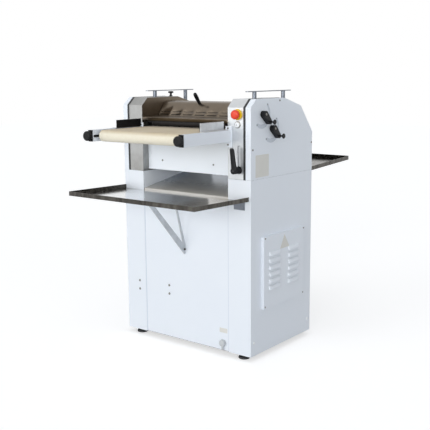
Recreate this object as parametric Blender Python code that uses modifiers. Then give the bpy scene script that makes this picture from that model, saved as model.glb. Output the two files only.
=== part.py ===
"""Floor-standing dough sheeter, built as an assembly of separate pieces.

Metres, +Z up. The pieces are modelled in the body's frame: X = 0 in the middle, Y = 0 at the front of the
cabinet, Z = 0 on the floor. One empty then shifts them all, so that the world's origin is under the centre of
the whole machine. "Side" is -1 for the left and +1 for the right, seen from the front.
"""

import math

import bmesh
import bpy
from mathutils import Matrix, Vector

# Overall sizes
BODY_WIDTH = 1.0
BODY_DEPTH = 0.665
HEAD_TOP = 1.550
SEAM_HEIGHT = 1.090
CABINET_BOTTOM = 0.030
COLUMN_WIDTH = 0.163

# Sheet, plate and clearances
SHEET = 0.002
GAP = 0.0003
SIDE_GAP = 0.0006
SIDE_PLATE = 0.0145
SIDE_PLATE_PROUD = 0.0015
COVER_WIDTH = 0.0375

# Side profile of the head
CHAMFER_DEPTH = 0.052
CHAMFER_DROP = 0.047
REAR_BREAK = 0.319
REAR_KNEE = 0.138
REAR_KNEE_DROP = 0.051
REAR_LOW_DROP = 0.216

# Feet and base frame
FOOT_RADIUS = 0.036
FOOT_INSET_X = 0.080
FOOT_INSET_Y = 0.045
FRAME_HEIGHT = 0.040
RAIL_WIDTH = 0.080

# Front and rear panels
PANEL_RECESS = 0.003
PANEL_TOP = 0.962
REAR_PANEL_TOP = 1.020
PANEL_FLANGE = 0.018

# Louvred service cover
LOUVRE_SIZE = 0.440
LOUVRE_DEPTH = 0.0207
LOUVRE_FRONT = 0.105
LOUVRE_BOTTOM = 0.304
LOUVRE_COLUMNS = (0.1145, 0.321)
LOUVRE_LENGTH = 0.116
LOUVRE_ROWS = 6
LOUVRE_PITCH = 0.0415
LOUVRE_FIRST_ROW = 0.114
LOUVRE_SLOT = 0.009
SERVICE_MARGIN = 0.040

# Rollers: place of each axis from the front and the floor
SHAFT_RADIUS = 0.010
BORE_CLEARANCE = 0.0006
ROLLER_SIDES = 32
NOSE_Y = -0.361
CONVEYOR_Z = 1.338
INFEED_DRIVE_Y = 0.075
CONVEYOR_RADIUS = 0.031
BELT_CLEARANCE = 0.0005
BELT_THICKNESS = 0.0025
BELT_INSET = 0.020
AXLE_RADIUS = 0.008
FEED_Y = 0.060
FEED_RADIUS = 0.0245
FEED_LIFT = 0.0055
FEED_INSET = 0.047
SHEETING_Y = 0.175
LOWER_RADIUS = 0.0335
UPPER_RADIUS = 0.030
SHEETING_NIP = 0.0015
SHEETING_INSET = 0.004

# Infeed conveyor
ARM_WIDTH = 0.030
ARM_INSET = 0.002
ARM_BOTTOM = 1.3067
ARM_TOP = 1.3741
ARM_WALL = 0.003
ARM_FRONT = -0.425
FOOT_PLATE_THICKNESS = 0.006
FOOT_PLATE_BOTTOM = 1.275
FOOT_PLATE_TOP = 1.396
FOOT_PLATE_INNER = 0.010
FOOT_PLATE_OUTER = 0.005
BRACKET_THICKNESS = 0.008
TENSION_ROD = 0.005
TENSION_KNOB_RADIUS = 0.029
TENSION_KNOB_DEPTH = 0.0345
GUIDE_FRONT = -0.240
GUIDE_REAR = -0.026
GUIDE_TOP = 1.4238
GUIDE_THICKNESS = 0.003
GUIDE_INSET = 0.010

# Hood over the rollers
HOOD_SHEET = 0.0015
HOOD_LIP_BOTTOM = 1.411
HOOD_SHELF = 1.430
HOOD_STEP_Y = 0.148
HOOD_TOP = 1.521
HOOD_SLOTS = 7
HOOD_SLOT_PITCH = 0.0965
HOOD_SLOT_LENGTH = 0.076
HOOD_BACK = ((0.2079208, 0.0), (0.4801980, 0.018), (0.7648515, 0.070), (0.9504950, 0.160))
HINGE_INSET = 0.025
HINGE_Z = 1.262
HINGE_RADIUS = 0.006
HANDLE_X = -0.040
HANDLE_RADIUS = 0.0115
HANDLE_LENGTH = 0.082

# Guard and outlet chute
GUARD_Y = 0.050
GUARD_BOTTOM = 1.101
GUARD_TOP = 1.295
CHUTE_FRONT = 0.018
CHUTE_FRONT_Z = 0.984
CHUTE_SLOPE = 0.1667

# Tables
TABLE_INSET = 0.011
TABLE_LIP = 0.026
TABLE_STANDOFF = 0.004
FRONT_TABLE_DEPTH = 0.490
FRONT_TABLE_Z = 0.995
FRONT_TABLE_RISE = 0.011
REAR_TABLE_DEPTH = 0.502
REAR_TABLE_Z = 1.107
REAR_TABLE_RISE = 0.026
BRACE_DROP = 0.387
BRACE_REACH = 0.346
BRACE_WIDTH = 0.038
STAY_REACH = 0.100
STAY_WIDTH = 0.014
BRACE_THICKNESS = 0.005
HOOK_INNER_INSET = 0.120
HOOK_OUTER_INSET = 0.042
HOOK_DROP = 0.054
HOOK_LEDGE = 0.026
HOOK_SHEET = 0.003

# Tray supports on the head
BAR_INSET = 0.1063
BAR_WIDTH = 0.026
BAR_FRONT = 0.105
BAR_REAR_INSET = 0.0965
BAR_TOP = 1.5922
BAR_THICKNESS = 0.005
POST_RADIUS = 0.0125
POST_FRONT = 0.185
POST_REAR_INSET = 0.175
LOCK_KNOB_BEHIND_BREAK = 0.002
LOCK_KNOB_INSET = 0.100

# Controls on the right housing
CONTROL_INSET = 0.040
ESTOP_Z = 1.464
ESTOP_RING = 0.031
ESTOP_CAP = 0.027
ESTOP_STEM = 0.012
START_Z = 1.406
START_RADIUS = 0.0155
START_OFFSET = -0.001
SLOT_BOTTOM = 1.131
SLOT_TOP = 1.286
SLOT_WIDTH = 0.020
CLAMP_Z = 1.146
CLAMP_OFFSET = 0.008
CLAMP_SHANK = 0.007
CLAMP_HUB = 0.019
CLAMP_HUB_DEPTH = 0.042
LEVER_LENGTH = 0.130

# Cranks on the right cover
CRANKS = {"upper": (0.110, 1.463), "lower": (0.204, 1.377)}
CRANK_LENGTH = 0.064
CRANK_HUB = 0.020
CRANK_END = 0.014
CRANK_THICKNESS = 0.030
CRANK_SHAFT = 0.008
CRANK_ANGLE = -45.0
PLUNGER_STEM = 0.005
PLUNGER_KNOB = 0.015
PLUNGER_REACH = 0.0235
PLUNGER_HEAD = 0.007

# Drive
MOTOR_Y = 0.330
MOTOR_Z = 0.145
MOTOR_RADIUS = 0.065
MOTOR_LENGTH = 0.240
MOTOR_PULLEY = 0.024
DRIVEN_PULLEY = 0.030
PULLEY_WIDTH = 0.018
DRIVE_BELT_THICKNESS = 0.004

# Cable gland on the front panel
GLAND_INSET = 0.044
GLAND_Z = 0.080
GLAND_RADIUS = 0.024
GLAND_PIPE = 0.007

# Derived planes
HALF = BODY_WIDTH / 2
WALL = HALF - COLUMN_WIDTH
PLATE_OUT = HALF - COVER_WIDTH
PLATE_IN = PLATE_OUT - SIDE_PLATE
ARM_IN = WALL - ARM_INSET
ARM_OUT = ARM_IN + ARM_WIDTH
ARM_MID = (ARM_IN + ARM_OUT) / 2
ARM_CENTRE_Z = (ARM_BOTTOM + ARM_TOP) / 2
BELT_HALF = ARM_IN - BELT_INSET
CONTROL_X = PLATE_IN - CONTROL_INSET
START_X = (ARM_OUT + FOOT_PLATE_OUTER + PLATE_IN) / 2 + START_OFFSET
CLAMP_X = CONTROL_X + CLAMP_OFFSET
HEAD_BOTTOM = SEAM_HEIGHT + GAP
BELT_TOP = CONVEYOR_Z + CONVEYOR_RADIUS + BELT_CLEARANCE + BELT_THICKNESS
FEED_Z = BELT_TOP + FEED_LIFT + FEED_RADIUS
LOWER_Z = CONVEYOR_Z
UPPER_Z = LOWER_Z + LOWER_RADIUS + SHEETING_NIP + UPPER_RADIUS
TABLE_HALF_WIDTH = HALF - TABLE_INSET
HOOK_INNER = HALF - HOOK_INNER_INSET
HOOK_OUTER = HALF - HOOK_OUTER_INSET
BAR_X = HALF - BAR_INSET
BAR_REAR = BODY_DEPTH - BAR_REAR_INSET
POST_Y = (POST_FRONT, BODY_DEPTH - POST_REAR_INSET)
LOCK_KNOB_X = HALF - LOCK_KNOB_INSET
LOCK_KNOB_Y = BODY_DEPTH - REAR_BREAK + LOCK_KNOB_BEHIND_BREAK
GLAND_X = WALL - GLAND_INSET
CRANK_X = HALF + 2 * GAP
PLUNGER_END = CRANK_X + CRANK_THICKNESS + PLUNGER_REACH + PLUNGER_HEAD


def tray_reach(depth, rise):
    """How far a tilted tray's lower outer corner stands out from its hinge."""
    return math.sqrt(depth ** 2 - rise ** 2) + TABLE_LIP * rise / depth

FRONT_REACH = -TABLE_STANDOFF - tray_reach(FRONT_TABLE_DEPTH, FRONT_TABLE_RISE)
REAR_REACH = BODY_DEPTH + TABLE_STANDOFF + tray_reach(REAR_TABLE_DEPTH, REAR_TABLE_RISE)
CENTRE = Vector(((PLUNGER_END - HALF) / 2, (FRONT_REACH + REAR_REACH) / 2, 0.0))
SIDES = {"left": -1, "right": 1}

MATERIALS = {
    "white_paint": ((0.86, 0.87, 0.89), 0.35, 0.0),
    "grey_steel": ((0.58, 0.58, 0.56), 0.40, 0.9),
    "stainless": ((0.62, 0.61, 0.60), 0.25, 1.0),
    "black_plate": ((0.02, 0.022, 0.025), 0.45, 0.3),
    "black_plastic": ((0.015, 0.016, 0.020), 0.40, 0.0),
    "black_rubber": ((0.02, 0.02, 0.022), 0.75, 0.0),
    "felt_belt": ((0.88, 0.84, 0.74), 0.90, 0.0),
    "roller_steel": ((0.70, 0.70, 0.69), 0.20, 1.0),
    "yellow_plastic": ((0.80, 0.62, 0.02), 0.40, 0.0),
    "red_plastic": ((0.75, 0.06, 0.03), 0.35, 0.0),
    "white_plastic": ((0.85, 0.85, 0.83), 0.35, 0.0),
    "grey_plastic": ((0.62, 0.62, 0.60), 0.50, 0.0),
    "motor_paint": ((0.16, 0.20, 0.26), 0.50, 0.2),
}


# ---------- scene ----------

def clear_scene():
    for old in list(bpy.data.objects):
        bpy.data.objects.remove(old, do_unlink=True)


clear_scene()
PARTS = bpy.data.collections.new("dough_sheeter")
CUTTERS = bpy.data.collections.new("cutters")
for collection in (PARTS, CUTTERS):
    bpy.context.scene.collection.children.link(collection)
ROOT = bpy.data.objects.new("machine_origin", None)
ROOT.location = -CENTRE
PARTS.objects.link(ROOT)


def make_material(name):
    colour, roughness, metallic = MATERIALS[name]
    material = bpy.data.materials.new(name)
    material.use_nodes = True
    shader = material.node_tree.nodes["Principled BSDF"]
    shader.inputs["Base Color"].default_value = (*colour, 1.0)
    shader.inputs["Roughness"].default_value = roughness
    shader.inputs["Metallic"].default_value = metallic
    material.diffuse_color = (*colour, 1.0)
    return material


FINISHES = {name: make_material(name) for name in MATERIALS}


# ---------- making shapes ----------

def add_object(name, mesh, material, location, rotation=(0.0, 0.0, 0.0)):
    """An object in the body's frame. With no material it is a cutter, hidden from the render."""
    obj = bpy.data.objects.new(name, mesh)
    obj.parent = ROOT
    obj.location = location
    obj.rotation_euler = rotation
    if material is None:
        CUTTERS.objects.link(obj)
        obj.hide_render = True
        obj.display_type = "WIRE"
    else:
        PARTS.objects.link(obj)
        mesh.materials.append(FINISHES[material])
    return obj


def block(name, material, low, high, pivot=None, rotation=(0.0, 0.0, 0.0), bevel=0.0):
    """A box from its low corner to its high corner, turned about its pivot."""
    low, high = Vector(low), Vector(high)
    pivot = Vector(pivot) if pivot is not None else (low + high) / 2
    shape = bmesh.new()
    bmesh.ops.create_cube(shape, size=1.0)
    bmesh.ops.scale(shape, vec=high - low, verts=shape.verts)
    bmesh.ops.translate(shape, vec=(low + high) / 2 - pivot, verts=shape.verts)
    mesh = bpy.data.meshes.new(name)
    shape.to_mesh(mesh)
    shape.free()
    obj = add_object(name, mesh, material, pivot, rotation)
    if bevel:
        edge = obj.modifiers.new("edge", "BEVEL")
        edge.width = bevel
        edge.segments = 2
        edge.limit_method = "ANGLE"
    return obj


PLANES = {
    "X": Matrix(((0, 0, 1, 0), (1, 0, 0, 0), (0, 1, 0, 0), (0, 0, 0, 1))),
    "Y": Matrix(((1, 0, 0, 0), (0, 0, -1, 0), (0, 1, 0, 0), (0, 0, 0, 1))),
    "Z": Matrix.Identity(4),
}


def plate(name, material, outlines, axis, start, end, pivot=(0.0, 0.0, 0.0), rotation=(0.0, 0.0, 0.0)):
    """A flat outline, with further outlines as holes, carried along an axis from start to end.

    The outline's points are (Y, Z) for axis X, (X, Z) for axis Y and (X, Y) for axis Z, from the pivot.
    """
    curve = bpy.data.curves.new(name, "CURVE")
    curve.dimensions = "2D"
    curve.fill_mode = "BOTH"
    curve.extrude = abs(end - start) / 2
    for outline in outlines:
        spline = curve.splines.new("POLY")
        spline.points.add(len(outline) - 1)
        for point, (first, second) in zip(spline.points, outline):
            point.co = (first, second, 0.0, 1.0)
        spline.use_cyclic_u = True
    drawn = bpy.data.objects.new(name + "_outline", curve)
    CUTTERS.objects.link(drawn)
    graph = bpy.context.evaluated_depsgraph_get()
    mesh = bpy.data.meshes.new_from_object(drawn.evaluated_get(graph))
    bpy.data.objects.remove(drawn, do_unlink=True)
    middle = (start + end) / 2
    lift = -middle if axis == "Y" else middle
    shape = bmesh.new()
    shape.from_mesh(mesh)
    bmesh.ops.remove_doubles(shape, verts=shape.verts, dist=1e-5)
    bmesh.ops.translate(shape, vec=(0.0, 0.0, lift), verts=shape.verts)
    bmesh.ops.transform(shape, matrix=PLANES[axis], verts=shape.verts)
    bmesh.ops.recalc_face_normals(shape, faces=shape.faces)
    shape.to_mesh(mesh)
    shape.free()
    mesh.materials.clear()
    mesh.name = name
    return add_object(name, mesh, material, pivot, rotation)


TURNS = {
    "+Z": (0.0, 0.0, 0.0),
    "+X": (0.0, math.pi / 2, 0.0),
    "-X": (0.0, -math.pi / 2, 0.0),
    "-Y": (math.pi / 2, 0.0, 0.0),
}


def turned(name, material, profile, centre, axis="+Z", sides=ROLLER_SIDES, ring=False):
    """A profile of (radius, height) points, from the top down the outer side, turned about the axis."""
    mesh = bpy.data.meshes.new(name)
    points = [(radius, 0.0, height) for radius, height in profile]
    edges = [(i, i + 1) for i in range(len(points) - 1)]
    if ring:
        edges.append((len(points) - 1, 0))
    mesh.from_pydata(points, edges, [])
    rotation = TURNS[axis] if isinstance(axis, str) else axis
    obj = add_object(name, mesh, material, centre, rotation)
    screw = obj.modifiers.new("turn", "SCREW")
    screw.axis = "Z"
    screw.angle = 2 * math.pi
    screw.steps = sides
    screw.render_steps = sides
    screw.use_merge_vertices = True
    screw.merge_threshold = 1e-5
    screw.use_smooth_shade = True
    return obj


def rod(name, material, radius, start, end, sides=16, axis="+X"):
    """A plain round bar, or a round cutter, between two points on a line along X, -Y or Z."""
    start, end = Vector(start), Vector(end)
    length = (end - start).length
    profile = [(0.0, length), (radius, length), (radius, 0.0), (0.0, 0.0)]
    return turned(name, material, profile, start, axis, sides)


def boolean(obj, operation, other):
    step = obj.modifiers.new(operation.lower() + "_" + other.name, "BOOLEAN")
    step.operation = operation
    step.solver = "EXACT"
    step.object = other
    return obj


def cut(obj, *cutters):
    for cutter in cutters:
        boolean(obj, "DIFFERENCE", cutter)
    return obj


def weld_to(obj, *others):
    for other in others:
        boolean(obj, "UNION", other)
    return obj


# ---------- outlines ----------

def arc(centre, radius, first, last, pieces):
    """Points on a circle from the first angle to the last, in degrees."""
    angles = [math.radians(first + (last - first) * i / pieces) for i in range(pieces + 1)]
    return [(centre[0] + radius * math.cos(a), centre[1] + radius * math.sin(a)) for a in angles]


def offset_path(path, distance):
    """The path moved sideways to its right by a distance, with mitred corners."""
    moved = []
    for i, point in enumerate(path):
        here = Vector(point)
        before = (here - Vector(path[i - 1])).normalized() if i > 0 else None
        after = (Vector(path[i + 1]) - here).normalized() if i < len(path) - 1 else None
        before = before or after
        after = after or before
        side_before = Vector((before.y, -before.x))
        side_after = Vector((after.y, -after.x))
        side = (side_before + side_after).normalized()
        moved.append(tuple(here + side * distance / side.dot(side_after)))
    return moved


def strip(path, thickness):
    """The outline of a folded sheet whose outer skin is the path, with its thickness on the right."""
    return list(path) + offset_path(path, thickness)[::-1]


def capsule(first, first_radius, second, second_radius, pieces=10):
    """Two circles of any radius joined by their outer tangents."""
    line = Vector(second) - Vector(first)
    heading = math.degrees(math.atan2(line.y, line.x))
    spread = math.degrees(math.acos((first_radius - second_radius) / line.length))
    near = arc(first, first_radius, heading + spread, heading + 360.0 - spread, pieces)
    far = arc(second, second_radius, heading - spread, heading + spread, pieces)
    return near + far


def head_path(growth=0.0, bottom=HEAD_BOTTOM):
    """The head's side profile, (Y, Z) from the front seam over the top to the rear seam."""
    path = [
        (0.0, bottom),
        (0.0, HEAD_TOP - CHAMFER_DROP),
        (CHAMFER_DEPTH, HEAD_TOP),
        (BODY_DEPTH - REAR_BREAK, HEAD_TOP),
        (BODY_DEPTH - REAR_KNEE, HEAD_TOP - REAR_KNEE_DROP),
        (BODY_DEPTH, HEAD_TOP - REAR_LOW_DROP),
        (BODY_DEPTH, bottom),
    ]
    return offset_path(path, -growth)


# ---------- base ----------

def build_base():
    inside = PLATE_IN - GAP
    front = PANEL_RECESS + SHEET + GAP
    rear = BODY_DEPTH - front
    outer = [(-inside, front), (inside, front), (inside, rear), (-inside, rear)]
    bay_rear = MOTOR_Y - RAIL_WIDTH / 2
    bay_front = MOTOR_Y + RAIL_WIDTH / 2
    reach = inside - RAIL_WIDTH
    front_bay = [(-reach, front + RAIL_WIDTH), (reach, front + RAIL_WIDTH), (reach, bay_rear), (-reach, bay_rear)]
    rear_bay = [(-reach, bay_front), (reach, bay_front), (reach, rear - RAIL_WIDTH), (-reach, rear - RAIL_WIDTH)]
    top = CABINET_BOTTOM + FRAME_HEIGHT
    plate("base_frame", "black_plate", [outer, front_bay, rear_bay], "Z", CABINET_BOTTOM, top)
    foot_top = CABINET_BOTTOM - GAP
    profile = [
        (0.0, foot_top),
        (FOOT_RADIUS * 0.93, foot_top),
        (FOOT_RADIUS, foot_top * 0.78),
        (FOOT_RADIUS, foot_top * 0.25),
        (FOOT_RADIUS * 0.86, 0.0),
        (0.0, 0.0),
    ]
    for side_name, side in SIDES.items():
        for end_name, y in (("front", FOOT_INSET_Y), ("rear", BODY_DEPTH - FOOT_INSET_Y)):
            centre = (side * (HALF - FOOT_INSET_X), y, 0.0)
            turned(f"foot_{end_name}_{side_name}", "black_rubber", profile, centre, sides=24)


def build_column_covers():
    top = SEAM_HEIGHT - GAP
    for name, side in SIDES.items():
        path = [(side * WALL, 0.0), (side * HALF, 0.0), (side * HALF, BODY_DEPTH), (side * WALL, BODY_DEPTH)]
        skin = strip(path, -side * SHEET)
        cover = plate(f"column_cover_{name}", "white_paint", [skin], "Z", CABINET_BOTTOM, top)
        if name == "right":
            margin = SERVICE_MARGIN
            low = (HALF - 0.02, LOUVRE_FRONT + margin, LOUVRE_BOTTOM + margin)
            high = (HALF + 0.01, LOUVRE_FRONT + LOUVRE_SIZE - margin, LOUVRE_BOTTOM + LOUVRE_SIZE - margin)
            cut(cover, block("service_window", None, low, high))


def build_panels():
    reach = WALL - SIDE_GAP
    bottom = CABINET_BOTTOM + PANEL_RECESS
    for name, skin_y, inward, top in (
        ("front_panel", PANEL_RECESS, 1, PANEL_TOP),
        ("rear_panel", BODY_DEPTH - PANEL_RECESS, -1, REAR_PANEL_TOP),
    ):
        flange = skin_y + inward * PANEL_FLANGE
        path = [(-reach, flange), (-reach, skin_y), (reach, skin_y), (reach, flange)]
        skin = strip(path, SHEET if inward < 0 else -SHEET)
        panel = plate(name, "white_paint", [skin], "Z", bottom, top)
        back = skin_y + inward * SHEET
        y = sorted((back, back + inward * 2 * PANEL_FLANGE))
        frame_top = CABINET_BOTTOM + FRAME_HEIGHT + GAP
        cut(panel, block(name + "_relief", None, (-HALF, y[0], bottom - 0.01), (HALF, y[1], frame_top)))


def build_louvre_cover():
    x0 = HALF + GAP
    x1 = x0 + LOUVRE_DEPTH
    low = (x0, LOUVRE_FRONT, LOUVRE_BOTTOM)
    high = (x1, LOUVRE_FRONT + LOUVRE_SIZE, LOUVRE_BOTTOM + LOUVRE_SIZE)
    cover = block("louvre_cover", "white_paint", low, high)
    hollow_low = (x0 - 0.01, LOUVRE_FRONT + SHEET, LOUVRE_BOTTOM + SHEET)
    hollow_high = (x1 - SHEET, high[1] - SHEET, high[2] - SHEET)
    cut(cover, block("louvre_hollow", None, hollow_low, hollow_high))
    slots = bmesh.new()
    for column in LOUVRE_COLUMNS:
        for row in range(LOUVRE_ROWS):
            y = LOUVRE_FRONT + column
            z = LOUVRE_BOTTOM + LOUVRE_FIRST_ROW + row * LOUVRE_PITCH
            made = bmesh.ops.create_cube(slots, size=1.0)["verts"]
            bmesh.ops.scale(slots, vec=(0.02, LOUVRE_LENGTH, LOUVRE_SLOT), verts=made)
            bmesh.ops.translate(slots, vec=(x1 - SHEET / 2, y, z), verts=made)
    mesh = bpy.data.meshes.new("louvre_slots")
    slots.to_mesh(mesh)
    slots.free()
    cut(cover, add_object("louvre_slots", mesh, None, (0.0, 0.0, 0.0)))


# ---------- head ----------

def shaft_bores():
    """One cutter with a bore right across the machine for each roller shaft."""
    radius = SHAFT_RADIUS + BORE_CLEARANCE
    bores = []
    for name, y, z in (
        ("infeed", INFEED_DRIVE_Y, CONVEYOR_Z),
        ("feed", FEED_Y, FEED_Z),
        ("upper", SHEETING_Y, UPPER_Z),
        ("lower", SHEETING_Y, LOWER_Z),
    ):
        reach = HALF - SHEET - 0.005
        bores.append(rod(f"{name}_bore", None, radius, (-reach, y, z), (reach, y, z)))
    return bores


def build_head():
    bores = shaft_bores()
    hinge_y = BODY_DEPTH - HINGE_INSET
    reach = PLATE_IN - 0.02
    hinge_bore = rod(
        "hinge_bore", None, HINGE_RADIUS + BORE_CLEARANCE, (-reach, hinge_y, HINGE_Z), (reach, hinge_y, HINGE_Z)
    )
    crank_bores = [
        rod(f"crank_{name}_bore", None, CRANK_SHAFT + BORE_CLEARANCE, (PLATE_IN - 0.01, y, z), (HALF + 0.01, y, z))
        for name, (y, z) in CRANKS.items()
    ]
    motor_bore = rod(
        "motor_bore", None, SHAFT_RADIUS + BORE_CLEARANCE,
        (PLATE_IN - 0.005, MOTOR_Y, MOTOR_Z), (PLATE_OUT + 0.005, MOTOR_Y, MOTOR_Z),
    )
    low = SHEET + GAP
    foot = CABINET_BOTTOM + GAP
    for name, side in SIDES.items():
        proud = head_path(SIDE_PLATE_PROUD, HEAD_BOTTOM + GAP)
        lower = [(BODY_DEPTH - low, HEAD_BOTTOM - GAP / 2), (BODY_DEPTH - low, foot), (low, foot)]
        outline = proud + lower + [(low, HEAD_BOTTOM + GAP / 2)]
        side_plate = plate(f"side_plate_{name}", "black_plate", [outline], "X", side * PLATE_IN, side * PLATE_OUT)
        cut(side_plate, *bores)

        inside = sorted((side * WALL, side * (PLATE_IN - GAP)))
        housing = plate(f"inner_housing_{name}", "grey_steel", [head_path()], "X", *inside)
        hollow_path = head_path(-SHEET, HEAD_BOTTOM - 0.02)
        hollow = sorted((side * (WALL + SHEET), side * (PLATE_IN + 0.01)))
        cut(housing, plate(f"housing_hollow_{name}", None, [hollow_path], "X", *hollow))
        cut(housing, *bores, hinge_bore)

        outside = sorted((side * (PLATE_OUT + GAP), side * HALF))
        cover = plate(f"outer_cover_{name}", "white_paint", [head_path()], "X", *outside)
        hollow = sorted((side * (PLATE_OUT - 0.01), side * (HALF - SHEET)))
        cut(cover, plate(f"cover_hollow_{name}", None, [hollow_path], "X", *hollow))
        if name == "right":
            cut(side_plate, *crank_bores, motor_bore)
            cut(cover, *crank_bores)
            cut_control_holes(housing)


def cut_control_holes(housing):
    for name, x, z, radius in (
        ("estop", CONTROL_X, ESTOP_Z, ESTOP_STEM + BORE_CLEARANCE),
        ("start", START_X, START_Z, START_RADIUS + BORE_CLEARANCE),
    ):
        cut(housing, rod(f"{name}_hole", None, radius, (x, 0.02, z), (x, -0.02, z), 24, "-Y"))
    ends = (CLAMP_X, SLOT_BOTTOM + SLOT_WIDTH / 2), (CLAMP_X, SLOT_TOP - SLOT_WIDTH / 2)
    outline = arc(ends[0], SLOT_WIDTH / 2, 180, 360, 8) + arc(ends[1], SLOT_WIDTH / 2, 0, 180, 8)
    cut(housing, plate("clamp_slot", None, [outline], "Y", -0.02, 0.02))


def build_tray_supports():
    seat = plate("post_seat", None, [head_path(GAP)], "X", -HALF, HALF)
    for name, side in SIDES.items():
        low = (side * BAR_X - BAR_WIDTH / 2, BAR_FRONT, BAR_TOP - BAR_THICKNESS)
        high = (side * BAR_X + BAR_WIDTH / 2, BAR_REAR, BAR_TOP)
        bar = block(f"tray_support_{name}", "stainless", low, high)
        for i, y in enumerate(POST_Y):
            bottom = (side * BAR_X, y, HEAD_TOP - 0.06)
            top = (side * BAR_X, y, BAR_TOP - BAR_THICKNESS / 2)
            weld_to(bar, rod(f"tray_post_{name}_{i}", None, POST_RADIUS, bottom, top, 20, "+Z"))
        cut(bar, seat)
    profile = [
        (0.0, 0.032),
        (0.012, 0.0315),
        (0.018, 0.028),
        (0.018, 0.021),
        (0.007, 0.019),
        (0.007, 0.004),
        (0.012, 0.0035),
        (0.012, 0.0),
        (0.0, 0.0),
    ]
    turned("lock_knob", "black_plastic", profile, (-LOCK_KNOB_X, LOCK_KNOB_Y, HEAD_TOP + GAP), sides=20)


def hood_path():
    """The hood's outer skin, (Y, Z) from the front lip over the top to the rear hinge."""
    facet_low = (HOOD_STEP_Y + 0.054, HOOD_TOP - 0.0145)
    facet_high = (HOOD_STEP_Y + 0.066, HOOD_TOP - 0.0055)
    crown = HOOD_STEP_Y + 0.088
    hinge = BODY_DEPTH - HINGE_INSET
    return [
        (0.0010, HOOD_LIP_BOTTOM),
        (0.0010, HOOD_SHELF),
        (HOOD_STEP_Y, HOOD_SHELF + 0.003),
        facet_low,
        facet_high,
        (crown, HOOD_TOP),
        *((crown + share * (hinge - crown), HOOD_TOP - drop) for share, drop in HOOD_BACK),
        (hinge, HINGE_Z + HINGE_RADIUS + GAP),
    ], facet_low, facet_high


def build_hood():
    path, facet_low, facet_high = hood_path()
    reach = WALL - SIDE_GAP
    pivot = (0.0, BODY_DEPTH - HINGE_INSET, HINGE_Z)
    local = [(y - pivot[1], z - pivot[2]) for y, z in strip(path, HOOD_SHEET)]
    hood = plate("hood", "stainless", [local], "X", -reach, reach, pivot)
    slope = Vector(facet_low) - Vector((HOOD_STEP_Y, HOOD_SHELF + 0.003))
    tilt = math.atan2(slope.y, slope.x)
    slots = bmesh.new()
    for share, height in ((0.12, 0.006), (0.36, 0.004)):
        middle = Vector((HOOD_STEP_Y, HOOD_SHELF + 0.003)) + slope * share
        for i in range(HOOD_SLOTS):
            x = (i - (HOOD_SLOTS - 1) / 2) * HOOD_SLOT_PITCH
            made = bmesh.ops.create_cube(slots, size=1.0)["verts"]
            bmesh.ops.scale(slots, vec=(HOOD_SLOT_LENGTH, height, 0.02), verts=made)
            bmesh.ops.rotate(slots, matrix=Matrix.Rotation(tilt, 3, "X"), verts=made)
            bmesh.ops.translate(slots, vec=(x, middle.x, middle.y), verts=made)
    mesh = bpy.data.meshes.new("hood_slots")
    slots.to_mesh(mesh)
    slots.free()
    cut(hood, add_object("hood_slots", mesh, None, (0.0, 0.0, 0.0)))
    reach = WALL + 0.015
    y, z = pivot[1], pivot[2]
    rod("hood_hinge_rod", "roller_steel", HINGE_RADIUS, (-reach, y, z), (reach, y, z), 16)
    facet = Vector(facet_high) - Vector(facet_low)
    lean = math.atan2(facet.y, facet.x)
    foot = (Vector(facet_low) + Vector(facet_high)) / 2 + Vector((-math.sin(lean), math.cos(lean))) * GAP
    r, length = HANDLE_RADIUS, HANDLE_LENGTH
    profile = [
        (0.0, length),
        (r * 0.75, length - r * 0.25),
        (r, length - r * 0.8),
        (r * 1.05, length * 0.5),
        (r * 0.85, 0.012),
        (r * 0.75, 0.0),
        (0.0, 0.0),
    ]
    turned("hood_handle", "black_plastic", profile, (HANDLE_X, foot.x, foot.y), (lean, 0.0, 0.0), 20)


def roller(name, material, radius, half_length, shaft, shaft_half, y, z, right_end=None):
    """A roller on its shaft along X. The right end of the shaft may be longer."""
    right_end = right_end or shaft_half
    profile = [
        (0.0, right_end),
        (shaft, right_end),
        (shaft, half_length),
        (radius, half_length),
        (radius, -half_length),
        (shaft, -half_length),
        (shaft, -shaft_half),
        (0.0, -shaft_half),
    ]
    return turned(name, material, profile, (0.0, y, z), "+X")


def build_rollers():
    shaft_end = PLATE_OUT - 0.001
    conveyor_half = ARM_IN - 0.018
    roller("infeed_drive_roller", "roller_steel", CONVEYOR_RADIUS, conveyor_half, SHAFT_RADIUS, shaft_end,
           INFEED_DRIVE_Y, CONVEYOR_Z)
    roller("nose_roller", "roller_steel", CONVEYOR_RADIUS, conveyor_half, AXLE_RADIUS, ARM_MID - 0.002,
           NOSE_Y, CONVEYOR_Z)
    roller("feed_roller", "black_rubber", FEED_RADIUS, WALL - FEED_INSET, SHAFT_RADIUS, shaft_end, FEED_Y, FEED_Z)
    sheeting_half = WALL - SHEETING_INSET
    roller("upper_sheeting_roller", "roller_steel", UPPER_RADIUS, sheeting_half, SHAFT_RADIUS, shaft_end,
           SHEETING_Y, UPPER_Z)
    pulley_x = PLATE_OUT + 0.006
    roller("lower_sheeting_roller", "roller_steel", LOWER_RADIUS, sheeting_half, SHAFT_RADIUS, shaft_end,
           SHEETING_Y, LOWER_Z, pulley_x + PULLEY_WIDTH)


# ---------- infeed conveyor ----------

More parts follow.
